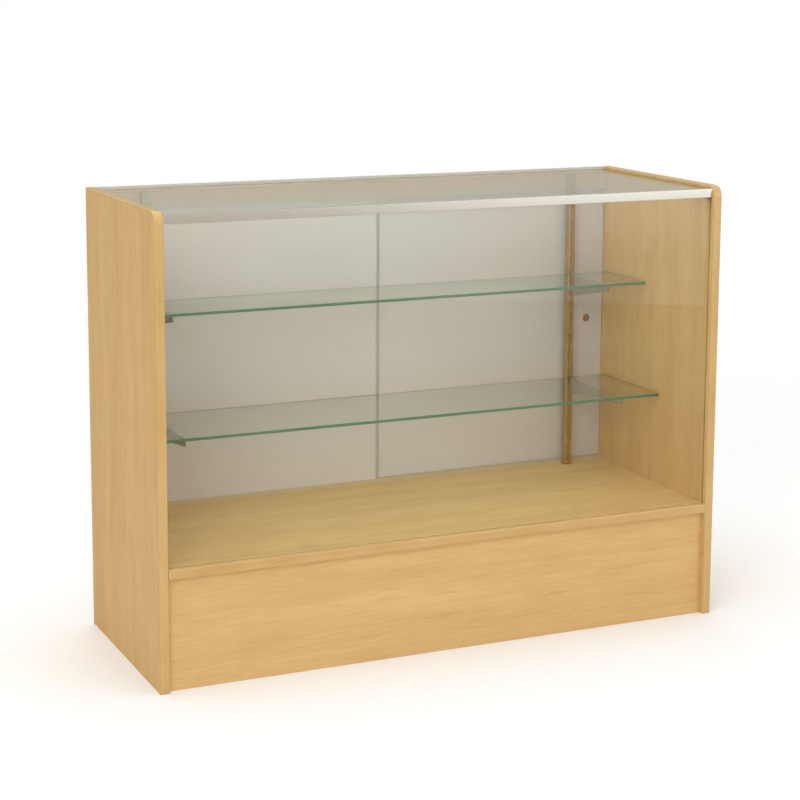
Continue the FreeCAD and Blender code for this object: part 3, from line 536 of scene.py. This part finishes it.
low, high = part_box("deck_edge_moulding")
board_front = low.y + cap_depth
middle = (low.z + high.z) / 2
moulding = start_block("deck_maple_moulding", low, (high.x, board_front, high.z))
cut(moulding, Z, middle - tongue_half)
cut(moulding, Z, middle + tongue_half)
pull(moulding, lambda face: lies_at(face, y=board_front, z=middle), (0, tongue_depth, 0))
soften(
    moulding,
    lambda edge: runs_along(edge, X) and lies_at(edge, y=low.y) and at_end(edge, Z, low, high),
    cap_round,
    cap_steps,
)
smooth(moulding)
hand_over(moulding, deck_pvc, "case", "maple_edge", "deck_edge_moulding")


# Cams, bolts and dowels: die-cast zinc cams and steel bolts pull the boards together, and beech dowels hold
# the kick plates. Only the cam faces behind the rail and under the deck can be seen.

zinc_pale = "c9ccd0"
zinc_dark = "a4a8ad"
beech_pale = "d8b58c"
beech_dark = "bb9062"

# Zinc plate over castings and steel: grey metal clouded in 4 mm patches, with crystals 1.4 mm across that
# make its soft shine uneven
zinc_plate, tree = blank_material("zinc_plate")
place = add_node(tree, "TexCoord").outputs["Object"]
spangle = add_node(tree, "TexVoronoi", {"Vector": place, "Scale": 700.0}).outputs["Distance"]
haze = add_node(tree, "TexNoise", {"Vector": place, "Scale": 260.0, "Detail": 2.0}).outputs[0]
tint = add_node(tree, "Mix", {0: haze, 6: linear(zinc_pale), 7: linear(zinc_dark)}, data_type="RGBA")
shine = add_node(tree, "MapRange", {"Value": spangle, "To Min": 0.26, "To Max": 0.44}).outputs[0]
face = add_node(tree, "BsdfPrincipled", {"Base Color": tint.outputs[2], "Metallic": 1.0, "Roughness": shine})
add_node(tree, "OutputMaterial", {"Surface": face.outputs[0]})

# Turned beech: pale pinkish wood with short dark flecks along the dowel, 6 mm long and 0.7 mm wide
turned_beech, tree = blank_material("turned_beech")
place = add_node(tree, "TexCoord").outputs["Object"]
flecks = add_node(tree, "Mapping", {"Vector": place, "Scale": (180, 1400, 1400)}).outputs[0]
flecks = add_node(tree, "TexNoise", {"Vector": flecks, "Scale": 1.0, "Detail": 2.0}).outputs[0]
tone = add_node(tree, "MapRange", {"Value": flecks, "From Min": 0.4, "From Max": 0.75}).outputs[0]
tint = add_node(tree, "Mix", {0: tone, 6: linear(beech_pale), 7: linear(beech_dark)}, data_type="RGBA")
face = add_node(tree, "BsdfPrincipled", {"Base Color": tint.outputs[2], "Roughness": 0.6})
add_node(tree, "OutputMaterial", {"Surface": face.outputs[0]})

finish_nodes(zinc_plate, "cam_locks", "cam_bolts")
finish_nodes(turned_beech, "wooden_dowels")


# Door tracks: twin-channel extrusions in tan plastic, pressed between the end panels. The deep one hangs from
# the rail, so that a door can be lifted out of the shallow one on the deck.

track_pale = "d2c09c"
track_dark = "c2ae88"

# Extruded PVC: one colour with die lines along its length and a dull gloss. The real lines are finer, and
# are drawn 1.1 mm wide so that they show
track_pvc, tree = blank_material("extruded_track_pvc")
place = add_node(tree, "TexCoord").outputs["Object"]
die_lines = add_node(tree, "Mapping", {"Vector": place, "Scale": (2, 900, 900)}).outputs[0]
die_lines = add_node(tree, "TexNoise", {"Vector": die_lines, "Scale": 1.0, "Detail": 2.0}).outputs[0]
tint = add_node(tree, "Mix", {0: die_lines, 6: linear(track_pale), 7: linear(track_dark)}, data_type="RGBA")
dull = add_node(tree, "MapRange", {"Value": die_lines, "To Min": 0.36, "To Max": 0.52}).outputs[0]
face = add_node(tree, "BsdfPrincipled", {"Base Color": tint.outputs[2], "Roughness": dull, "IOR": 1.53})
add_node(tree, "OutputMaterial", {"Surface": face.outputs[0]})

finish_nodes(track_pvc, "upper_door_track", "lower_door_track")


# Slotted standards: 1.2 mm steel strip, punched with a slot every 25.4 mm, folded to a channel and nickel
# plated. Each stands on a small steel foot on the deck and is screwed to the rail near its head.

slot_pitch = 25.4 * mm
slot_high = 13 * mm
slot_half = 1.7 * mm
slot_start = 8.7 * mm
slot_count = 25
strip_thickness = 1.2 * mm
fold_round = 1.8 * mm
fold_steps = 4
strip_ease = 0.2 * mm
strip_pale = "dcc79c"
strip_dark = "c2a778"


def nickel_plate(name, pale, dark):
    """Satin nickel on steel: metal that mirrors the boards and doors near it as soft blurs."""
    material, tree = blank_material(name)
    place = add_node(tree, "TexCoord").outputs["Object"]
    # Patches 33 mm across, and upright brushing, drawn as coarse as 1.1 mm by 40 mm so that it shows
    haze = add_node(tree, "TexNoise", {"Vector": place, "Scale": 30.0, "Detail": 3.0}).outputs[0]
    brushing = add_node(tree, "Mapping", {"Vector": place, "Scale": (900, 900, 25)}).outputs[0]
    brushing = add_node(tree, "TexNoise", {"Vector": brushing, "Scale": 1.0, "Detail": 2.0}).outputs[0]
    tint = add_node(tree, "Mix", {0: haze, 6: linear(pale), 7: linear(dark)}, data_type="RGBA")
    shine = add_node(tree, "MapRange", {"Value": brushing, "To Min": 0.16, "To Max": 0.3}).outputs[0]
    relief = add_node(tree, "Bump", {"Height": brushing, "Strength": 0.1, "Distance": 0.02 * mm}).outputs[0]
    face = add_node(
        tree,
        "BsdfPrincipled",
        {"Base Color": tint.outputs[2], "Metallic": 1.0, "Roughness": shine, "Normal": relief},
    )
    add_node(tree, "OutputMaterial", {"Surface": face.outputs[0]})
    return material


# Aged nickel on the strips: its lacquer has yellowed, which warms every reflection
strip_nickel = nickel_plate("yellowed_nickel_plate", strip_pale, strip_dark)

low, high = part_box("left_standard")
middle = (low + high) / 2
strip_start = low.z + slot_start - (slot_pitch - slot_high) / 2
bpy.ops.object.select_all(action="DESELECT")
bpy.ops.mesh.primitive_plane_add(
    size=1,
    location=(middle.x, low.y, strip_start + slot_pitch / 2),
    rotation=(math.radians(90), 0, 0),
)
standard = bpy.context.object
standard.scale = (high.x - low.x, slot_pitch, 1)
bpy.ops.object.transform_apply(location=True, rotation=True, scale=True)
cut(standard, X, middle.x - slot_half)
cut(standard, X, middle.x + slot_half)
cut(standard, Z, low.z + slot_start)
cut(standard, Z, low.z + slot_start + slot_high)
slot_middle = Vector((middle.x, low.y, low.z + slot_start + slot_high / 2))
pick(standard, "FACE", lambda face: (centre(face) - slot_middle).length < mm)
bpy.ops.mesh.delete(type="FACE")
close()
use_modifier(
    standard,
    "ARRAY",
    count=slot_count,
    use_relative_offset=False,
    use_constant_offset=True,
    constant_offset_displace=(0, 0, slot_pitch),
    use_merge_vertices=True,
)
strip_end = strip_start + slot_count * slot_pitch
# The strip runs on past its end slots, down to the foot and up to the head
for cut_end, true_end in ((strip_start, low.z), (strip_end, high.z)):
    pull(
        standard,
        lambda edge: runs_along(edge, X) and lies_at(edge, z=cut_end),
        (0, 0, true_end - cut_end),
        "EDGE",
    )
# Its two long sides fold back
pull(
    standard,
    lambda edge: runs_along(edge, Z) and at_end(edge, X, low, high),
    (0, high.y - low.y, 0),
    "EDGE",
)
soften(
    standard,
    lambda edge: runs_along(edge, Z) and lies_at(edge, y=low.y) and at_end(edge, X, low, high),
    fold_round,
    fold_steps,
)
use_modifier(standard, "SOLIDIFY", thickness=strip_thickness, offset=-1)
ease(standard, strip_ease, segments=1, degrees=60)
smooth(standard)
standard.name = "left_slotted_standard"

bpy.ops.object.select_all(action="DESELECT")
standard.select_set(True)
bpy.context.view_layer.objects.active = standard
bpy.ops.object.duplicate()
twin = bpy.context.object
twin.name = "right_slotted_standard"
twin.location.x = -2 * middle.x
bpy.ops.object.transform_apply(location=True, rotation=True, scale=True)
hand_over(standard, strip_nickel, "case", "standard_steel", "left_standard")
hand_over(twin, strip_nickel, "case", "standard_steel", "right_standard")
finish_nodes(strip_nickel, "standard_feet")
finish_nodes(zinc_plate, "standard_head_screws")


# Knife brackets: flat 2.6 mm steel blades that taper to a blunt tip. Two hooks behind each drop into
# neighbouring slots of a standard. Grey vinyl saddles on the blades keep the glass off the steel.

hook_neck = 6.5 * mm
hook_drop = 5 * mm
hook_thickness = 3.5 * mm
hook_reach = 1.4 * mm
tip_high = 10 * mm
tip_round = 4 * mm
tip_steps = 6
heel_drop = 3 * mm
blade_ease = 0.35 * mm
blade_pale = "cbc5b6"
blade_dark = "aca591"
vinyl_pale = "b5b2a8"
vinyl_dark = "98958c"

# Plain nickel on the blades: greyer than the strips
blade_nickel = nickel_plate("grey_nickel_plate", blade_pale, blade_dark)

# Soft vinyl: grey, clouded in 8 mm patches, with a dull skin
soft_vinyl, tree = blank_material("soft_grey_vinyl")
place = add_node(tree, "TexCoord").outputs["Object"]
cloud = add_node(tree, "TexNoise", {"Vector": place, "Scale": 120.0, "Detail": 2.0}).outputs[0]
tint = add_node(tree, "Mix", {0: cloud, 6: linear(vinyl_pale), 7: linear(vinyl_dark)}, data_type="RGBA")
dull = add_node(tree, "MapRange", {"Value": cloud, "To Min": 0.45, "To Max": 0.6}).outputs[0]
face = add_node(tree, "BsdfPrincipled", {"Base Color": tint.outputs[2], "Roughness": dull, "IOR": 1.52})
add_node(tree, "OutputMaterial", {"Surface": face.outputs[0]})

standard_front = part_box("left_standard")[0].y
for level in ("upper", "lower"):
    for side in ("left", "right"):
        node = f"{level}_{side}_bracket"
        low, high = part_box(node)
        low_hook = low.z + hook_drop
        high_hook = low_hook + slot_pitch
        heel = low_hook - heel_drop
        web_back = standard_front + hook_reach
        tip_bottom = high.z - tip_high
        blade = start_block(
            f"{level}_{side}_knife_bracket",
            (low.x, low.y, tip_bottom),
            (high.x, standard_front, high.z),
        )
        # The lower edge drops to the heel at the standard, which tapers the blade
        pick(blade, "VERT", lambda point: near(point.co.y, standard_front) and near(point.co.z, tip_bottom))
        bpy.ops.transform.translate(value=(0, 0, heel - tip_bottom))
        close()
        for level_z in (low_hook, low_hook + hook_neck, high_hook, high_hook + hook_neck):
            cut(blade, Z, level_z)
        # Each hook goes through its slot, then turns down behind the strip
        for hook_z in (low_hook, high_hook):
            for step in (hook_reach, hook_thickness):
                pull(
                    blade,
                    lambda face: looks(face, Y) and lies_at(face, z=hook_z + hook_neck / 2),
                    (0, step, 0),
                )
            pull(
                blade,
                lambda face: looks(face, Z, way=-1) and lies_at(face, z=hook_z) and centre(face).y > web_back,
                (0, 0, -hook_drop),
            )
        soften(
            blade,
            lambda edge: runs_along(edge, X) and lies_at(edge, y=low.y, z=tip_bottom),
            tip_round,
            tip_steps,
        )
        ease(blade, blade_ease, segments=2, degrees=40)
        smooth(blade)
        hand_over(blade, blade_nickel, f"{level}_hung_shelf", "bracket_steel", node)
    finish_nodes(soft_vinyl, f"{level}_bracket_pads")


# Glass: 6 mm clear float glass with ground and polished edges, two hung shelves, the front and the top.
# The shelves lie loose on their saddles, and the front stands in grooves on a soft seat.

arris = 0.7 * mm
arris_steps = 2
edge_pale = "6f9370"
edge_dark = "42644b"
clear_tint = "fbfdfb"
shelf_tint = "edf3ea"


def float_glass(name, tint):
    """Float glass: sharp mirror-like surface. Lamp light passes it, so what lies behind stays lit."""
    material, tree = blank_material(name)
    place = add_node(tree, "TexCoord").outputs["Object"]
    # Float glass is flat to a few hundredths of a millimetre over 200 mm, which only stirs its reflections
    waves = add_node(tree, "TexNoise", {"Vector": place, "Scale": 5.0, "Detail": 0.0}).outputs[0]
    relief = add_node(tree, "Bump", {"Height": waves, "Strength": 0.1, "Distance": 0.1 * mm}).outputs[0]
    optics = {"Roughness": 0.0, "IOR": 1.52, "Transmission Weight": 1.0}
    body_glass = add_node(tree, "BsdfPrincipled", {"Base Color": linear(tint), "Normal": relief, **optics})
    pass_light = add_node(tree, "BsdfTransparent", {"Color": linear(clear_tint)})
    lamp_ray = add_node(tree, "LightPath").outputs["Is Shadow Ray"]
    both = add_node(tree, "MixShader", {0: lamp_ray, 1: body_glass.outputs[0], 2: pass_light.outputs[0]})
    add_node(tree, "OutputMaterial", {"Surface": both.outputs[0]})
    return material


# The shelves are seen edge on through more of their green body, so theirs is a little greener
clear_glass = float_glass("clear_float_glass", clear_tint)
shelf_glass = float_glass("shelf_float_glass", shelf_tint)

# Polished edge: light caught in the pane leaves here after a long way through the glass, green and deep,
# in layers 2.5 mm thick
glass_edge, tree = blank_material("polished_glass_edge")
place = add_node(tree, "TexCoord").outputs["Object"]
depth = add_node(tree, "Mapping", {"Vector": place, "Scale": (6, 6, 400)}).outputs[0]
depth = add_node(tree, "TexNoise", {"Vector": depth, "Scale": 1.0, "Detail": 2.0}).outputs[0]
tint = add_node(tree, "Mix", {0: depth, 6: linear(edge_pale), 7: linear(edge_dark)}, data_type="RGBA")
polish = add_node(tree, "MapRange", {"Value": depth, "To Min": 0.08, "To Max": 0.2}).outputs[0]
face = add_node(tree, "BsdfPrincipled", {"Base Color": tint.outputs[2], "Roughness": polish, "IOR": 1.52})
add_node(tree, "OutputMaterial", {"Surface": face.outputs[0]})

# Each pane's name, its node, the body that it rides on, the axis that it is thin along, and its glass
panes = (
    ("upper_glass_shelf", "upper_shelf", "upper_hung_shelf", Z, shelf_glass),
    ("lower_glass_shelf", "lower_shelf", "lower_hung_shelf", Z, shelf_glass),
    ("front_glass_pane", "front_glass", "case", Y, clear_glass),
    ("top_glass_pane", "top_glass", "case", Z, clear_glass),
)
for name, node, body, thin, glass in panes:
    low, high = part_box(node)
    pane = start_block(name, low, high)
    soften(pane, lambda edge: True, arris, arris_steps)
    pane.data.materials.append(glass)
    pane.data.materials.append(glass_edge)
    pane.active_material_index = 1
    pick(pane, "FACE", lambda face: not looks(face, thin) and not looks(face, thin, way=-1))
    bpy.ops.object.material_slot_assign()
    close()
    hand_over(pane, glass, body, "clear_glass", node)

finish_nodes(soft_vinyl, "front_glass_seat", "front_glass_gasket", "top_glass_cushion", "top_glass_pads")


# Top front channel: one aluminium extrusion that holds the head of the front glass under its ledge and the
# front edge of the top glass on it. A small zinc angle and a screw fix each end to its panel.

fascia_deep = 2.5 * mm
ledge_low = 899.4 * mm
ledge_high = 901.4 * mm
leg_front = -210.6 * mm
leg_back = -208.6 * mm
nose_round = 0.5 * mm
nose_steps = 4
channel_ease = 0.25 * mm
aluminium_pale = "e2dfda"
aluminium_dark = "d9d6d0"

# Bright-dipped and anodised aluminium: clean silver with hair-fine drawing lines along its length, drawn
# 0.7 mm wide so that they show
bright_aluminium, tree = blank_material("bright_anodised_aluminium")
place = add_node(tree, "TexCoord").outputs["Object"]
drawing = add_node(tree, "Mapping", {"Vector": place, "Scale": (1.5, 1500, 1500)}).outputs[0]
drawing = add_node(tree, "TexNoise", {"Vector": drawing, "Scale": 1.0, "Detail": 2.0}).outputs[0]
silver = {0: drawing, 6: linear(aluminium_pale), 7: linear(aluminium_dark)}
tint = add_node(tree, "Mix", silver, data_type="RGBA")
shine = add_node(tree, "MapRange", {"Value": drawing, "To Min": 0.2, "To Max": 0.34}).outputs[0]
relief = add_node(tree, "Bump", {"Height": drawing, "Strength": 0.05, "Distance": 0.02 * mm}).outputs[0]
face = add_node(
    tree,
    "BsdfPrincipled",
    {"Base Color": tint.outputs[2], "Metallic": 1.0, "Roughness": shine, "Normal": relief},
)
add_node(tree, "OutputMaterial", {"Surface": face.outputs[0]})

low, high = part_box("top_front_channel")
fascia_back = low.y + fascia_deep
channel = start_block("aluminium_front_channel", low, (high.x, fascia_back, high.z))
cut(channel, Z, ledge_low)
cut(channel, Z, ledge_high)
# The ledge grows back from the fascia in three steps, and the leg hangs from the middle one
ledge_stops = (fascia_back, leg_front, leg_back, high.y)
for start, stop in zip(ledge_stops, ledge_stops[1:]):
    pull(
        channel,
        lambda face: looks(face, Y) and lies_at(face, y=start, z=(ledge_low + ledge_high) / 2),
        (0, stop - start, 0),
    )
pull(
    channel,
    lambda face: looks(face, Z, way=-1) and lies_at(face, y=(leg_front + leg_back) / 2),
    (0, 0, low.z - ledge_low),
)
soften(
    channel,
    lambda edge: runs_along(edge, X) and lies_at(edge, y=low.y) and at_end(edge, Z, low, high),
    nose_round,
    nose_steps,
)
ease(channel, channel_ease, segments=2, degrees=50)
smooth(channel)
hand_over(channel, bright_aluminium, "case", "channel_metal", "top_front_channel")
finish_nodes(zinc_plate, "channel_clips", "channel_clip_screws")


# Sliding doors: 6 mm painted hardboard with eased edges, the left in the front channel and the right in the
# rear. Each is bored for a pull near its outer edge and notched underneath for two nylon glides.

door_pale = "dad3cd"
door_dark = "d0c8c1"
# The dark colour and the two strengths below draw a painted shadow line where the doors overlap
door_shadow_colour = "7d7263"
door_ease = 0.8 * mm
shadow_line_wide = 5 * mm
front_door_shadow = 0.3
rear_door_shadow = 0.35
notch_high = 3 * mm
notch_long = 30 * mm
bore_round = 9.2 * mm
round_sides = 64
pull_height = 570 * mm
# The cutters of the bore and the notches stand out past the board
cutter_long = 40 * mm
overrun = 5 * mm


def carve(piece, cutter):
    """Cut one solid out of another and throw the cutter away."""
    use_modifier(piece, "BOOLEAN", object=cutter, operation="DIFFERENCE", solver="EXACT")
    bpy.ops.object.select_all(action="DESELECT")
    cutter.select_set(True)
    bpy.ops.object.delete()


def painted_hardboard(name, shadow_x, strength):
    """Painted hardboard: greyish white with a slight roller stipple, and a dark line of painted shadow at one
    place in X.
    """
    material, tree = blank_material(name)
    place = add_node(tree, "TexCoord").outputs["Object"]
    # Broad uneven patches, 290 mm across, and the roller's stipple, 1.7 mm across
    patch = add_node(tree, "TexNoise", {"Vector": place, "Scale": 3.5, "Detail": 3.0}).outputs[0]
    stipple = add_node(tree, "TexNoise", {"Vector": place, "Scale": 600.0, "Detail": 1.0}).outputs[0]
    tint = add_node(tree, "Mix", {0: patch, 6: linear(door_pale), 7: linear(door_dark)}, data_type="RGBA")
    # The painted shadow line is darkest in its middle and fades out over a few millimetres
    across = add_node(tree, "SeparateXYZ", {0: place}).outputs["X"]
    off = add_node(tree, "Math", {0: across, 1: shadow_x}, operation="SUBTRACT").outputs[0]
    off = add_node(tree, "Math", {0: off}, operation="ABSOLUTE").outputs[0]
    painted_shadow = add_node(
        tree,
        "MapRange",
        {"Value": off, "From Min": shadow_line_wide / 4, "From Max": shadow_line_wide, "To Min": strength, "To Max": 0.0},
        interpolation_type="SMOOTHSTEP",
    )
    shadowed = {0: painted_shadow.outputs[0], 6: tint.outputs[2], 7: linear(door_shadow_colour)}
    tint = add_node(tree, "Mix", shadowed, data_type="RGBA")
    dull = add_node(tree, "MapRange", {"Value": stipple, "To Min": 0.42, "To Max": 0.58}).outputs[0]
    relief = add_node(tree, "Bump", {"Height": stipple, "Strength": 0.2, "Distance": 0.05 * mm}).outputs[0]
    face = add_node(
        tree, "BsdfPrincipled", {"Base Color": tint.outputs[2], "Roughness": dull, "Normal": relief}
    )
    add_node(tree, "OutputMaterial", {"Surface": face.outputs[0]})
    return material


# Painted shadow: a dark line on the rear door beside the front door's edge, and on that edge itself, standing
# in for the shadow of the step between the doors
left_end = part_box("left_door")[1].x
door_paint = {
    "left": painted_hardboard("painted_hardboard_left", left_end, front_door_shadow),
    "right": painted_hardboard("painted_hardboard_right", left_end + shadow_line_wide, rear_door_shadow),
}
pull_middles = {}
for side in ("left", "right"):
    low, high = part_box(f"{side}_door")
    board = start_block(f"{side}_sliding_door_board", low, high)
    ease(board, door_ease, segments=2, degrees=50)
    pull_low, pull_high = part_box(f"{side}_finger_pull")
    pull_middles[side] = Vector(((pull_low.x + pull_high.x) / 2, low.y, pull_height))
    bpy.ops.object.select_all(action="DESELECT")
    bpy.ops.mesh.primitive_cylinder_add(
        vertices=round_sides,
        radius=bore_round,
        depth=cutter_long,
        location=pull_middles[side],
        rotation=(math.radians(90), 0, 0),
    )
    carve(board, bpy.context.object)
    glide_low, glide_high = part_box(f"{side}_door_glides")
    for start in (glide_low.x, glide_high.x - notch_long):
        notch = start_block(
            "glide_notch",
            (start, low.y - overrun, low.z - overrun),
            (start + notch_long, high.y + overrun, low.z + notch_high),
        )
        carve(board, notch)
    smooth(board)
    hand_over(board, door_paint[side], f"{side}_sliding_door", "door_board", f"{side}_door")


# Glides and finger pulls: moulded nylon shoes pressed into the notches, and spun brass cups with a rolled
# flange, pressed into the bores from behind so that a finger can slide the door.

pull_flange = 13.5 * mm
pull_cup = 9 * mm
pull_wall = 0.8 * mm
lip_round = 0.35 * mm
brass_pale = "c8b088"
brass_dark = "a8906a"
nylon_pale = "ece8dc"
nylon_dark = "ddd8c8"

# Moulded nylon: milky off-white, clouded in 6 mm patches, with a soft sheen
white_nylon, tree = blank_material("moulded_white_nylon")
place = add_node(tree, "TexCoord").outputs["Object"]
cloud = add_node(tree, "TexNoise", {"Vector": place, "Scale": 160.0, "Detail": 2.0}).outputs[0]
tint = add_node(tree, "Mix", {0: cloud, 6: linear(nylon_pale), 7: linear(nylon_dark)}, data_type="RGBA")
sheen = add_node(tree, "MapRange", {"Value": cloud, "To Min": 0.35, "To Max": 0.5}).outputs[0]
face = add_node(tree, "BsdfPrincipled", {"Base Color": tint.outputs[2], "Roughness": sheen, "IOR": 1.53})
add_node(tree, "OutputMaterial", {"Surface": face.outputs[0]})
finish_nodes(white_nylon, "left_door_glides", "right_door_glides")


def spun_brass(name, middle):
    """Spun brass: warm metal with fine turning rings round the cup's middle."""
    material, tree = blank_material(name)
    place = add_node(tree, "TexCoord").outputs["Object"]
    centred = add_node(tree, "VectorMath", {0: place, 1: middle}, operation="SUBTRACT").outputs[0]
    flat = add_node(tree, "VectorMath", {0: centred, 1: (1, 0, 1)}, operation="MULTIPLY").outputs[0]
    radius = add_node(tree, "VectorMath", {0: flat}, operation="LENGTH").outputs["Value"]
    # Turning rings, 0.36 mm apart, under patches of tarnish 11 mm across
    turned = {"W": radius, "Scale": 2800.0, "Detail": 1.0}
    rings = add_node(tree, "TexNoise", turned, noise_dimensions="1D").outputs[0]
    tarnish = add_node(tree, "TexNoise", {"Vector": place, "Scale": 90.0, "Detail": 2.0}).outputs[0]
    tint = add_node(tree, "Mix", {0: tarnish, 6: linear(brass_pale), 7: linear(brass_dark)}, data_type="RGBA")
    shine = add_node(tree, "MapRange", {"Value": rings, "To Min": 0.2, "To Max": 0.36}).outputs[0]
    relief = add_node(tree, "Bump", {"Height": rings, "Strength": 0.2, "Distance": 0.02 * mm}).outputs[0]
    face = add_node(
        tree,
        "BsdfPrincipled",
        {"Base Color": tint.outputs[2], "Metallic": 1.0, "Roughness": shine, "Normal": relief},
    )
    add_node(tree, "OutputMaterial", {"Surface": face.outputs[0]})
    return material


for side in ("left", "right"):
    low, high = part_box(f"{side}_finger_pull")
    flange_front = high.y - pull_wall
    middle = pull_middles[side]
    bpy.ops.object.select_all(action="DESELECT")
    bpy.ops.mesh.primitive_cylinder_add(
        vertices=round_sides,
        radius=pull_flange,
        depth=pull_wall,
        location=(middle.x, high.y - pull_wall / 2, middle.z),
        rotation=(math.radians(90), 0, 0),
    )
    cup = bpy.context.object
    cup.name = f"{side}_brass_finger_pull"
    bpy.ops.object.transform_apply(location=True, rotation=True, scale=True)
    # The hollow, pressed in from the flange's face
    pick(cup, "FACE", lambda face: looks(face, Y))
    bpy.ops.mesh.inset(thickness=pull_flange - pull_cup + pull_wall)
    bpy.ops.mesh.extrude_region_move(TRANSFORM_OT_translate={"value": (0, low.y - flange_front, 0)})
    close()
    # The cup's outside, drawn out of the flange's back
    pick(cup, "FACE", lambda face: looks(face, Y, way=-1))
    bpy.ops.mesh.inset(thickness=pull_flange - pull_cup)
    bpy.ops.mesh.extrude_region_move(TRANSFORM_OT_translate={"value": (0, low.y - flange_front, 0)})
    close()
    ease(cup, lip_round, segments=3, degrees=40)
    smooth(cup, degrees=30)
    brass = spun_brass(f"{side}_spun_brass", middle)
    hand_over(cup, brass, f"{side}_sliding_door", "pull_brass", f"{side}_finger_pull")
